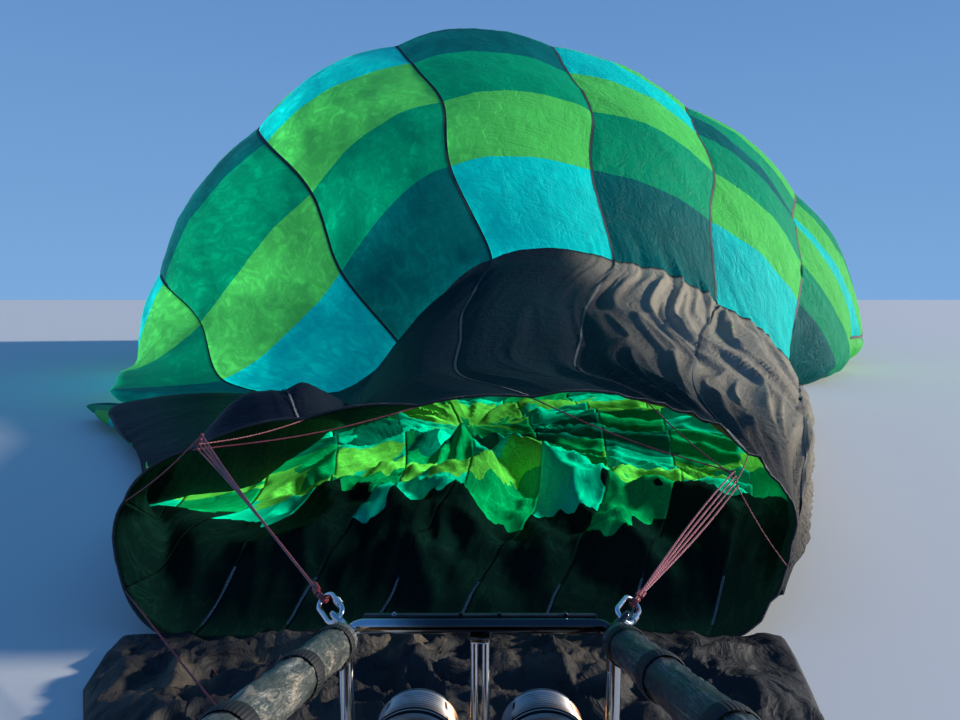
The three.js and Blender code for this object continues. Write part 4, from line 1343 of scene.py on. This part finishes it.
@dataclass
class Rigging:
    """The frame, its eyes and rail, the padded uprights, carabiners, thimbles and wires."""

    envelope: Envelope
    frame_y: float = 0.95
    frame_z: float = 0.425
    frame_half: float = 0.31
    tube: float = 0.017
    bend: float = 0.045
    eye_r: float = 0.022
    eye_tube: float = 0.007
    sleeve_r: float = 0.042
    rim_reach: float = 0.419
    rim_z: float = 0.505
    rim_r: float = 0.035
    link_half: float = 0.022
    link_tube: float = 0.006
    link_near: float = 0.0084
    link_far: float = 0.1084
    thimble_y: float = 0.1108
    wire_step: float = 0.016
    wire_r: float = 0.0036
    corners: tuple[Corner, ...] = (
        Corner("upper_left", -1, 1, -4.5, (-1.134, 2.25, 0.924)),
        Corner("upper_right", 1, 1, -0.5, (1.038, 2.25, 0.77)),
        Corner("lower_right", 1, -1, 3.5, (0.7, 2.2, 0.034)),
        Corner("lower_left", -1, -1, -8.5, (-0.9, 2.2, 0.034)),
    )

    def corner_point(self, corner: Corner) -> Vector:
        """The middle of the tube at a corner's bend."""
        reach = self.frame_half - self.bend * 0.3
        return Vector((corner.sx * reach, self.frame_y, self.frame_z + corner.sz * reach))

    def rim_point(self, corner: Corner) -> Vector:
        """Where a corner's upright stands on the basket's rim."""
        return Vector((corner.sx * self.rim_reach, 0, self.rim_z + corner.sz * self.rim_reach))

    def axes(self, corner: Corner) -> Matrix:
        """The frame of a corner's rigging: Y along the pull, X across the eye."""
        reach = (self.tube + self.eye_r) * math.sqrt(0.5)
        outward = Vector((corner.sx, 0, corner.sz)).normalized()
        origin = self.corner_point(corner) + Vector((corner.sx * reach, 0, corner.sz * reach))
        pull = (Vector(corner.gather) - origin).normalized()
        across = pull.cross(outward).normalized()
        up = across.cross(pull)
        turn = Matrix((across, pull, up)).transposed().to_4x4()
        return Matrix.Translation(origin) @ turn

    @staticmethod
    def hoop(half: float, bend: float, y: float, z: float, steps: int = 10) -> list[Vector]:
        """A rounded square in an XZ plane, as a closed path."""
        def point(sx: int, sz: int, angle: float) -> Vector:
            """A point of one corner's bend."""
            return Vector((sx * (half - bend) + bend * math.cos(angle), y,
                           z + sz * (half - bend) + bend * math.sin(angle)))

        path = []
        signs = ((1, 1), (-1, 1), (-1, -1), (1, -1))
        for (sx, sz), (next_x, next_z) in zip(signs, signs[1:] + signs[:1]):
            start = math.atan2(sz, sx) - math.pi / 4
            path += [point(sx, sz, start + math.pi / 2 * k / steps) for k in range(steps + 1)]
            here, there = path[-1], point(next_x, next_z, start + math.pi / 2)
            path += [here.lerp(there, t / 8) for t in range(1, 8)]
        return path

    def build_frame(self) -> None:
        """Builds the polished hoop with its eyes, sockets and pivot bosses."""
        work = Work()
        work.tube(self.hoop(self.frame_half, self.bend, self.frame_y, self.frame_z), self.tube, 32,
                  closed=True, up=ALONG)
        for corner in self.corners:
            axes = self.axes(corner)
            work.ring(axes.translation, self.eye_r, self.eye_tube,
                      axes.to_3x3() @ Vector((1, 0, 0)), 32, 12)
            top, rim = self.corner_point(corner), self.rim_point(corner)
            work.rod(top, top.lerp(rim, 0.06), 0.016, 24)
        for sign in (1, -1):
            z = self.frame_z + sign * self.frame_half
            low, high = sorted((z, z - sign * 0.026))
            work.block((-0.026, self.frame_y - 0.016, low),
                       (0.026, self.frame_y + 0.016, high), 0.004, 3)
        steel = Metal("frame_steel", (0.6, 0.61, 0.63), MetalLook.POLISHED, 0.07, True).material()
        work.piece("burner_frame_steel", Body.ROOT, "steel", [steel], ["burner_frame"])
        work = Work()
        near = self.frame_y + self.tube + SEAT_GAP
        top = self.frame_z + self.frame_half
        work.block((-0.272, near, top - 0.006), (0.272, near + 0.014, top + 0.018), 0.003, 3)
        work.piece("scoop_rail_black", Body.ROOT, "steel",
                   [Moulding("rail_paint", srgb(22, 24, 28), 0.35).material()], ["scoop_rail"])
        work = Work()
        for x in (-0.2, -0.045, 0.045, 0.2):
            work.rod((x, near + 0.004, top + 0.017), (x, near + 0.004, top + 0.0225), 0.0042, 6)
            work.rod((x, near + 0.004, top + 0.0165), (x, near + 0.004, top + 0.0185), 0.0062, 20)
        work.piece("rail_bolts", Body.ROOT, "steel", [steel])

    def build_sleeves(self) -> None:
        """Builds the padded sleeves over the uprights, with their straps and lacing."""
        looks = {
            "upper_left": Hide("sleeve_grey", srgb(66, 74, 70), srgb(176, 160, 136),
                               0.007, 6, 0.85, 0.4, (2.2, 3.4, 1), 0.02, 0.75),
            "upper_right": Hide("sleeve_blue", srgb(30, 36, 44), srgb(74, 74, 74),
                                0.006, 6, 0.5, 0.34, (3, 2.2, 1), 0.03, 0.5),
            "lower_right": Hide("sleeve_dark", srgb(36, 40, 42), srgb(84, 80, 72),
                                0.005, 8, 0.5, 0.4, (3, 2, 1)),
            "lower_left": Hide("sleeve_olive", srgb(48, 54, 48), srgb(110, 104, 92),
                               0.005, 8, 0.5, 0.4, (3, 2, 1)),
        }
        strap = Webbing("strap_black", srgb(14, 15, 17)).material()
        for corner in self.corners:
            top, rim = self.corner_point(corner), self.rim_point(corner)
            start = top.lerp(rim, 0.066)
            axis = (rim - start).normalized()
            stop = rim - axis * (self.rim_r + 0.001)
            count = 110
            path = [start.lerp(stop, k / count) for k in range(count + 1)]
            work = Work()

            def girth(i: int) -> float:
                """The sleeve's radius, drawn in at its ends and where a strap holds it."""
                t = i / count
                r = self.sleeve_r - 0.001 + 0.003 * t
                r *= 1 - 0.35 * max(0.0, 1 - t / 0.02) - 0.25 * max(0.0, 1 - (1 - t) / 0.02)
                for held in (0.07, 0.3, 0.62, 0.92):
                    r -= 0.0025 * math.exp(-((t - held) / 0.012) ** 2)
                return r
            work.tube(path, girth, 48)
            seed = 3.0 * corner.sx + corner.sz
            side, rise = Work.frames([start, stop], False, None)[0][0]
            for vert in work.bm.verts:
                local = vert.co - start
                along = local.dot(axis)
                off = local - axis * along
                if off.length < 0.01:
                    continue
                angle = math.atan2(off.dot(rise), off.dot(side))
                turn = np.array([angle * 1.3 + along * 6]), np.array([along * 22 - angle * 1.1])
                dent = float(crumple(turn[0], turn[1], seed, 3)[0])
                vert.co += off.normalized() * (0.0055 * (dent - 0.65))
            piece = work.piece(f"sleeve_{corner.name}", Body.ROOT, "sleeve_leather",
                               [looks[corner.name].material()], [f"upright_{corner.name}"], 180)
            work = Work()
            for held, wide in ((0.07, 0.012), (0.3, 0.02), (0.62, 0.02), (0.92, 0.012)):
                middle = start.lerp(stop, held)
                radius = self.sleeve_r + 0.0015 + 0.003 * held
                work.tube(circle(middle, side, rise, radius, 40), wide, 8, closed=True,
                          flat=0.16, up=axis)
                buckle = middle + side * (radius * 0.2) + rise * (radius + 0.002)
                work.ring(buckle, 0.012, 0.0022, rise, 16, 8)
            pitch, radius = 0.028, self.sleeve_r + 0.001
            for k in range(9):
                t = 0.03 + pitch * k
                one, two = (
                    start.lerp(stop, at) + (side * math.cos(a) + rise * math.sin(a)) * radius
                    for at, a in ((t, 0.9), (t + pitch, 1.7)))
                work.tube([one, one.lerp(two, 0.5) + rise * 0.002, two], 0.0018, 6)
            work.piece(f"sleeve_straps_{corner.name}", Body.ROOT, "sleeve_leather", [strap])

    def build_links(self) -> None:
        """Builds the carabiners with their gates, and the thimbles with their wires."""
        steel = Metal("link_steel", (0.72, 0.73, 0.75), MetalLook.POLISHED, 0.16).material()
        red = Moulding("thimble_red", srgb(112, 34, 40), 0.35).material()
        wire = Wire("wire_sheath", srgb(104, 34, 48), srgb(168, 88, 96)).material()
        dark = Wire("wire_sheath_dark", srgb(70, 26, 38), srgb(140, 70, 84)).material()
        for corner in self.corners:
            axes = self.axes(corner)
            straight = (self.link_far - self.link_near) / 2 - self.link_half
            middle = (self.link_near + self.link_far) / 2
            path = []
            for a in turns(56):
                y = middle + math.copysign(straight, math.sin(a)) + self.link_half * math.sin(a)
                path.append(axes @ Vector((self.link_half * math.cos(a), y, 0)))
            work = Work()
            work.tube(path, self.link_tube, 16, closed=True)
            gate = [axes @ Vector((self.link_half, middle + s, 0)) for s in (-0.021, 0.006)]
            work.rod(gate[0], gate[1], 0.0085, 20)
            for k in range(6):
                at = gate[0].lerp(gate[1], (k + 0.5) / 6)
                work.ring(at, 0.0083, 0.0009, gate[1] - gate[0], 20, 6)
            work.piece(f"carabiner_link_{corner.name}", Body.ROOT, "steel", [steel],
                       [f"carabiner_{corner.name}"])
            self.build_wires(corner, axes, wire if corner.sz > 0 else dark, red)

    def build_wires(self, corner: Corner, axes: Matrix, sheath: bpy.types.Material,
                    thimble: bpy.types.Material) -> None:
        """Builds one corner's thimbles, ferrules and four wires.

        Args:
            corner: The frame's corner.
            axes: The frame of its rigging.
            sheath: What the wires are finished in.
            thimble: What the thimbles and ferrules are finished in.
        """
        fittings, work = Work(), Work()
        root = axes @ Vector((0, self.thimble_y + 0.014, 0))
        for k in range(3):
            turn = axes @ Matrix.Rotation(math.radians(-20 + 20 * k), 4, "Y")
            fittings.ring(turn @ Vector((0, self.thimble_y, 0)), 0.013, 0.0032,
                          turn.to_3x3() @ Vector((1, 0, 0)), 24, 8)
        gather = Vector(corner.gather)
        for i in range(4):
            place = corner.first + i
            lip, _ = self.envelope.cloth(place + 0.5, np.array([0.0]))
            end = Vector(lip[0, 0])
            if end.z < 0.02:
                end = end + Vector((0, 0.03, 0.012))
            shift = axes.to_3x3() @ Vector((0.006 * (i - 1.5), 0, 0.003 * (i % 2)))
            if corner.sz > 0:
                turn = gather - Vector((0, self.wire_step * i, self.wire_step * i))
                sag = Vector((0, 0, -0.03 * (end - turn).length))
                work.tube(bowed(root, turn, shift, 14), self.wire_r, 10)
                work.tube(bowed(turn, end, sag, 18), self.wire_r * 0.85, 10)
                fittings.ball(turn, 0.0075)
            else:
                work.tube(bowed(root, end, shift, 16), self.wire_r, 10)
            toward = (gather - root).normalized()
            at = root + toward * (0.012 + 0.004 * i) + shift * 0.6
            fittings.rod(at, at + toward * 0.028, 0.0052, 12)
        work.piece(f"wires_{corner.name}", Body.ROOT, "cable_sheath", [sheath],
                   [f"cables_{corner.name}"])
        fittings.piece(f"thimbles_{corner.name}", Body.ROOT, "cable_sheath", [thimble])

    def build(self) -> None:
        """Builds the frame, sleeves, carabiners and wires."""
        self.build_frame()
        self.build_sleeves()
        self.build_links()


@dataclass
class Burners:
    """The gimballed pair of burners."""

    can_x: float = 0.152
    can_r: float = 0.112
    tip_r: float = 0.101
    wall: float = 0.004
    length: float = 0.14
    z: float = 0.425
    y: float = 0.95
    post_x: float = 0.013
    post_r: float = 0.009
    post_end: float = 0.2837
    block_half: float = 0.045
    block_near: float = 0.82
    block_far: float = 0.91

    def build_gimbal(self) -> None:
        """Builds the two posts with their feet and hub."""
        work = Work()
        end = self.post_end
        for sign in (-1, 1):
            work.rod((sign * self.post_x, self.y, self.z - end + 0.006),
                     (sign * self.post_x, self.y, self.z + end - 0.006), self.post_r, 32)
            z = self.z + sign * end
            low, high = sorted((z, z - sign * 0.012))
            work.block((-0.022, self.y - 0.012, low), (0.022, self.y + 0.012, high), 0.002)
        work.block((-0.024, self.y - 0.018, self.z - 0.03),
                   (0.024, self.y + 0.018, self.z + 0.03), 0.004, 3)
        steel = Metal("gimbal_steel", (0.74, 0.75, 0.77), MetalLook.POLISHED, 0.1).material()
        work.piece("gimbal_steel", Body.GIMBAL, "steel", [steel], ["gimbal_posts"])
        work = Work()
        yoke_y = self.y - 0.085
        half = self.can_x - self.block_half - SEAT_GAP
        work.block((-half, yoke_y - 0.014, self.z - 0.014),
                   (half, yoke_y + 0.014, self.z + 0.014), 0.003, 3)
        for sign in (-1, 1):
            low, high = sorted((sign * 0.0243, sign * 0.03))
            work.block((low, yoke_y, self.z - 0.014), (high, self.y + 0.012, self.z + 0.014), 0.001)
        brushed = Metal("yoke_steel", (0.6, 0.61, 0.62)).material()
        work.piece("yoke_steel", Body.BURNER, "steel", [brushed], ["burner_yoke"])

    def build_can(self, name: str, sign: int) -> None:
        """Builds one burner: its can and two bands, and then the coil, block and lever.

        Args:
            name: Left or right.
            sign: Which side of the middle it is on.
        """
        x = sign * self.can_x
        near = self.y - 0.04 + SEAT_GAP
        far = near + self.length
        work = Work()
        r, tip, wall = self.can_r, self.tip_r, self.wall
        outer = [(0.0, near), (0.04, near), (0.1, near + 0.012), (r - 0.003, near + 0.017),
                 (r, near + 0.021), (r + 0.0012, near + 0.025), (r + 0.0012, near + 0.041),
                 (r - 0.001, near + 0.044)]
        for k in range(58):
            t = k / 57
            along = 0.046 + (far - near - 0.056) * t
            rib = 0.0016 * math.sin(along * FULL_TURN / 0.0115)
            outer.append((r - 0.002 + (tip - r) * t ** 1.1 + rib, near + along))
        outer += [(tip + 0.0015, far - 0.006), (tip + 0.002, far - 0.003), (tip + 0.001, far),
                  (tip - wall, far), (tip - wall, far - 0.006)]
        inner = [(r - wall - 0.001, near + 0.06), (r - wall, near + 0.03),
                 (r - wall - 0.006, near + 0.024), (0.04, near + wall), (0.0, near + wall)]
        work.lathe(outer + inner, (x, 0, self.z), 128)
        centre = (PLACE.x + x, PLACE.y + near, self.z)
        work.piece(f"can_{name}_steel", Body.BURNER, "can_steel",
                   [CanSteel(f"can_{name}_finish", centre).material()], [f"burner_can_{name}"], 30)
        work = Work()
        work.ring((x, near + 0.024, self.z), r - 0.0005, 0.0042, ALONG, 96, 12)
        work.ring((x, near + 0.037, self.z), r - 0.0005, 0.0036, ALONG, 96, 12)
        black = Metal(f"can_{name}_ring_finish", srgb(40, 40, 44), MetalLook.POLISHED, 0.12)
        work.piece(f"can_{name}_ring", Body.BURNER, "can_steel", [black.material()])
        self.build_coil(name, x, near)
        self.build_block(name, x)

    def build_coil(self, name: str, x: float, near: float) -> None:
        """Builds one vaporizing coil with its two feed tubes and its ring of jets."""
        work = Work()
        laps, radius, pitch = 2, 0.074, 0.024
        base = near + 0.045
        path = [Vector((x + radius * math.cos(a), base + pitch * a / FULL_TURN,
                        self.z + radius * math.sin(a)))
                for a in np.linspace(0, FULL_TURN * laps, 40 * laps)]
        work.tube(path, 0.006, 12)
        work.rod((x + 0.028, near + 0.009, self.z), path[0], 0.0055, 12)
        work.rod((x - 0.028, near + 0.009, self.z), (x - radius, base, self.z), 0.0055, 12)
        for a in turns(12):
            at = Vector((x + 0.05 * math.cos(a), near + 0.012, self.z + 0.05 * math.sin(a)))
            work.rod(at, at + Vector((0, 0.014, 0)), 0.003, 10)
        finish = Metal(f"coil_{name}_finish", (0.5, 0.42, 0.34), MetalLook.HEAT_TINTED)
        work.piece(f"coil_{name}_steel", Body.BURNER, "coil_steel", [finish.material()],
                   [f"burner_coil_{name}"])

    def build_block(self, name: str, x: float) -> None:
        """Builds one valve block with its cap screws and pipe union, and its blast lever."""
        work = Work()
        near, far, half = self.block_near, self.block_far, self.block_half
        work.block((x - half, near, self.z - half), (x + half, far, self.z + half), 0.005, 3)
        for sx in (-1, 1):
            for sz in (-1, 1):
                at = Vector((x + sx * 0.033, near, self.z + sz * 0.033))
                work.rod(at + Vector((0, 0.001, 0)), at + Vector((0, -0.005, 0)), 0.005, 6)
        work.rod((x, near + 0.04, self.z - half + 0.001),
                 (x, near + 0.04, self.z - half - 0.022), 0.011, 6)
        work.piece(f"valve_block_{name}_brass", Body.BURNER, "brass_block",
                   [Metal(f"block_{name}_brass", BRASS).material()], [f"valve_block_{name}"])
        work = Work()
        work.rod((x, near - SEAT_GAP, self.z), (x, near - 0.03, self.z), 0.009, 20)
        grip = [Vector((x, near - 0.02 - 0.11 * t, self.z + 0.003 * math.sin(3 * t)))
                for t in np.linspace(0, 1, 12)]
        work.tube(grip, lambda i: 0.0115 - 0.0035 * abs(math.cos(i / 11 * math.pi * 1.4)), 20,
                  flat=0.55, up=Vector((1, 0, 0)))
        red = Moulding(f"lever_{name}_red", srgb(150, 24, 26)).material()
        work.piece(f"blast_lever_{name}_grip", Body.BURNER, "lever_plastic", [red],
                   [f"blast_lever_{name}"])

    def build(self) -> None:
        """Builds the gimbal and both burners."""
        self.build_gimbal()
        self.build_can("left", -1)
        self.build_can("right", 1)


@dataclass
class Basket:
    """The wicker basket on its side, with its rim, band, floor, runners and fuel cylinders."""

    half: float = 0.49
    depth: float = 1.075
    wall: float = 0.04
    corner: float = 0.17
    z: float = 0.505
    rim_r: float = 0.0347
    spacings: int = 15
    pitch: float = 0.0145
    tank_r: float = 0.15
    tank_length: float = 0.82
    tank_reach: float = 0.288

    def side_path(self, inset: Callable[[float], float], count: int) -> list[Vector]:
        """A wall's line from one corner's middle to the next, at y 0, about the basket's axis.

        Args:
            inset: How far inside the outer face the line runs, by the fraction along it.
            count: How many points.

        Returns:
            The points of the upper wall.
        """
        flat = self.half - self.corner
        bend = (self.corner - self.wall / 2) * math.pi / 4
        total = 2 * flat + 2 * bend
        path = []
        for k in range(count):
            t = k / (count - 1)
            s = 0.0005 + (total - 0.001) * t
            r = self.corner - inset(t)
            if s < bend:
                a = math.pi * 3 / 4 - math.pi / 4 * s / bend
                path.append(Vector((-flat + r * math.cos(a), 0, flat + r * math.sin(a))))
            elif s > total - bend:
                a = math.pi / 2 - math.pi / 4 * (s - total + bend) / bend
                path.append(Vector((flat + r * math.cos(a), 0, flat + r * math.sin(a))))
            else:
                path.append(Vector((-flat + s - bend, 0, flat + r)))
        return path

    def build_walls(self) -> None:
        """Builds four woven walls: stakes, and weavers repeated along the basket's depth."""
        willow = Willow("willow_rods", srgb(176, 122, 62), srgb(112, 70, 34)).material()
        stake = Willow("willow_stakes", srgb(148, 100, 52), srgb(92, 58, 30)).material()
        near, far = -0.036, -self.depth + 0.001
        rows = int((near - far) / self.pitch / 2)
        for i, name in enumerate(("upper", "right", "ground", "left")):
            turn = Matrix.Translation((0, 0, self.z)) @ Matrix.Rotation(i * math.pi / 2, 4, "Y")
            flip = -1 if i % 2 else 1
            work = Work()
            for k in range(2):
                sway = flip * (1 if k else -1)
                path = self.side_path(lambda t, w=sway: 0.02 + 0.0085 * w * math.cos(
                    math.pi * self.spacings * t), 4 * self.spacings + 1)
                y = near - self.pitch * (k + 0.5)
                work.tube([turn @ (p + ALONG * y) for p in path], 0.0072, 4)
            piece = work.piece(f"wicker_weave_{name}", Body.ROOT, "wicker", [willow],
                               [f"basket_wall_{name}"])
            array = piece.modifiers.new("courses", "ARRAY")
            array.count = rows
            array.use_relative_offset, array.use_constant_offset = False, True
            array.constant_offset_displace = (0, -2 * self.pitch, 0)
            work = Work()
            for p in self.side_path(lambda t: 0.02, self.spacings + 1):
                work.rod(turn @ (p + ALONG * near), turn @ (p + ALONG * far), 0.0055, 8)
            work.piece(f"wicker_stakes_{name}", Body.ROOT, "wicker", [stake])

    def build_rim(self) -> None:
        """Builds the padded leather rim with its lacing."""
        work = Work()
        path = Rigging.hoop(self.half - self.wall / 2, self.corner - self.wall / 2, 0, self.z, 14)
        work.tube(path, lambda i: self.rim_r - 0.001 + 0.0012 * math.sin(i * 1.7), 28,
                  closed=True, up=ALONG)
        hide = Hide("rim_leather", srgb(74, 48, 32), srgb(134, 96, 66), 0.003, 16, 0.6, 0.5)
        rim = work.piece("rim_padding", Body.ROOT, "basket_leather", [hide.material()],
                         ["basket_rim"], 180)
        work = Work()
        pitch, run = 0.075, 0.0
        for a, b in zip(path, path[1:] + path[:1]):
            length = (b - a).length
            while run < length:
                at = a.lerp(b, run / length)
                along = (b - a).normalized()
                work.ring(at, self.rim_r + 0.0006, 0.0022, along + ALONG * 0.25, 22, 6)
                run += pitch
            run -= length
        lace = Hide("lacing_leather", srgb(40, 26, 18), srgb(90, 66, 46), 0.001, 30, 0.4)
        work.piece("rim_lacing", Body.ROOT, "basket_leather", [lace.material()])

    def build_tanks(self) -> None:
        """Builds the fuel cylinders with their weld seams, collars, valves and straps."""
        shell = Metal("cylinder_steel", (0.66, 0.67, 0.68), MetalLook.BRUSHED, 0.3).material()
        strap = Webbing("cylinder_strap", srgb(30, 34, 40)).material()
        brass = Metal("cylinder_brass", BRASS).material()
        base = -self.depth
        r, top = self.tank_r, base + self.tank_length
        for name, sx, sz in (("upper_left", -1, 1), ("upper_right", 1, 1), ("lower_right", 1, -1)):
            x, z = sx * self.tank_reach, self.z + sz * self.tank_reach
            work = Work()
            dome = [(r * math.cos(a), base + 0.05 - 0.048 * math.sin(a))
                    for a in np.linspace(1.5, 0, 10)]
            side = [(r, base + 0.2), (r + 0.001, base + 0.395), (r + 0.001, base + 0.405),
                    (r, base + 0.6)]
            head = [(r * math.cos(a), top - 0.07 + 0.068 * math.sin(a))
                    for a in np.linspace(0, 1.28, 12)]
            neck = [(0.04, top), (0.04, top + 0.012), (0.03, top + 0.014), (0.03, top + 0.03),
                    (0.0, top + 0.03)]
            work.lathe([(0.0, base + 0.002)] + dome + side + head + neck, (x, 0, z), 72)
            work.piece(f"cylinder_{name}_shell", Body.ROOT, "cylinder_metal", [shell],
                       [f"fuel_cylinder_{name}"], 35)
            work = Work()
            collar_r = 0.062
            work.ring((x, top + 0.012, z), collar_r, 0.006, ALONG, 40, 10)
            for a in turns(3):
                out = Vector((math.cos(a + 0.4), 0, math.sin(a + 0.4))) * collar_r
                work.rod(Vector((x, top - 0.018, z)) + out, Vector((x, top + 0.012, z)) + out,
                         0.005, 10)
            work.piece(f"cylinder_{name}_collar", Body.ROOT, "cylinder_metal", [shell])
            work = Work()
            work.rod((x, top + 0.029, z), (x, top + 0.049, z), 0.014, 24)
            work.block((x - 0.026, top + 0.03, z - 0.008),
                       (x + 0.026, top + 0.044, z + 0.008), 0.002)
            work.piece(f"cylinder_{name}_valve", Body.ROOT, "cylinder_metal", [brass])
            work = Work()
            for y in (base + 0.24, base + 0.56):
                ring = circle(Vector((x, y, z)), Vector((1, 0, 0)), Vector((0, 0, 1)),
                              r + 0.0015, 64)
                work.tube(ring, 0.022, 8, closed=True, flat=0.09, up=ALONG)
            work.piece(f"cylinder_{name}_straps", Body.ROOT, "cylinder_metal", [strap])

    def dress_boards(self) -> None:
        """Gives the floor, the runners and the scuff band their finishes."""
        board = Timber("floor_plywood", srgb(168, 128, 80), srgb(112, 78, 44)).material()
        ash = Timber("runner_ash", srgb(150, 118, 80), srgb(96, 70, 42)).material()
        hide = Hide("band_leather", srgb(66, 44, 30), srgb(124, 92, 64), 0.003, 14, 0.6, 0.55)
        band = self.object_hide(hide)
        for name, material in (("basket_floor", board), ("basket_runner_upper", ash),
                               ("basket_runner_lower", ash), ("basket_scuff_band", band)):
            dress(name, material)

    @staticmethod
    def object_hide(hide: Hide) -> bpy.types.Material:
        """The same leather, read from the object's own coordinates, for a piece with no map."""
        material = hide.material()
        tree = material.node_tree
        for made in [n for n in tree.nodes if n.bl_idname == "ShaderNodeUVMap"]:
            place = tree.nodes.new("ShaderNodeTexCoord")
            for link in list(made.outputs[0].links):
                tree.links.new(place.outputs["Object"], link.to_socket)
            tree.nodes.remove(made)
        return material

    def build(self) -> None:
        """Builds the basket and what it carries."""
        self.build_walls()
        self.build_rim()
        self.build_tanks()
        self.dress_boards()


def dress(node: str, material: bpy.types.Material) -> None:
    """Puts a material on every slot of a CAD node's object."""
    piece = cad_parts[node]
    if not piece.data.materials:
        piece.data.materials.append(material)
    for used in piece.material_slots:
        used.material = material
    LOG.info("%s: dressed", node)


@dataclass
class Stage:
    """The floor, the light and the camera."""

    camera: Place3 = (-0.803304, -11.9077, 1.5)
    pitch: float = 5.3
    lens: float = 27.04
    sun_from: Place3 = (0.88, 0.12, 0.25)
    sun_colour: Colour = (1.0, 0.93, 0.82)
    sun_strength: float = 5.2
    sun_width: float = 4
    floor_colour: Colour = (0.66, 0.66, 0.63)
    horizon: Colour = (0.24, 0.47, 0.84)
    zenith: Colour = (0.05, 0.19, 0.52)
    sky_strength: float = 0.85

    def build(self) -> None:
        """Builds the pale floor, a soft sun, a sky and the camera."""
        scene = bpy.context.scene
        bm = bmesh.new()
        bmesh.ops.create_grid(bm, x_segments=1, y_segments=1, size=150)
        mesh = bpy.data.meshes.new("stage_floor")
        bm.to_mesh(mesh)
        bm.free()
        floor = bpy.data.objects.new("stage_floor", mesh)
        floor.location.z = -0.002
        plain = Shader("stage_plain").surface(base_color=self.floor_colour, roughness=0.9)
        mesh.materials.append(plain)
        scene.collection.objects.link(floor)
        data = bpy.data.lights.new("sun", "SUN")
        data.energy, data.angle = self.sun_strength, math.radians(self.sun_width)
        data.color = self.sun_colour
        sun = bpy.data.objects.new("sun", data)
        sun.rotation_mode = "QUATERNION"
        sun.rotation_quaternion = Vector(self.sun_from).to_track_quat("Z", "Y")
        scene.collection.objects.link(sun)
        world = bpy.data.worlds.new("sky")
        world.use_nodes = True
        nodes, links = world.node_tree.nodes, world.node_tree.links
        sky, ramp = nodes["Background"], nodes.new("ShaderNodeValToRGB")
        place, split = nodes.new("ShaderNodeTexCoord"), nodes.new("ShaderNodeSeparateXYZ")
        ramp.color_ramp.elements[0].color = (*self.horizon, 1)
        ramp.color_ramp.elements[1].color = (*self.zenith, 1)
        ramp.color_ramp.elements[1].position = 0.75
        links.new(place.outputs["Generated"], split.inputs[0])
        links.new(split.outputs[2], ramp.inputs[0])
        links.new(ramp.outputs[0], sky.inputs[0])
        sky.inputs[1].default_value = self.sky_strength
        scene.world = world
        lens = bpy.data.cameras.new("camera")
        lens.lens, lens.sensor_width, lens.clip_start, lens.clip_end = self.lens, 36, 0.05, 300
        camera = bpy.data.objects.new("camera", lens)
        camera.location = self.camera
        camera.rotation_euler = (math.radians(90 - self.pitch), 0, 0)
        scene.collection.objects.link(camera)
        scene.camera = camera
        scene.view_settings.view_transform = "Standard"


def main() -> None:
    """Builds every sub-assembly in order."""
    logging.basicConfig(level=logging.INFO, format="%(name)s: %(message)s")
    Stage().build()
    envelope = Envelope()
    envelope.build()
    Scoop().build()
    Rigging(envelope).build()
    Burners().build()
    Basket().build()


if __name__ == "__main__":
    main()
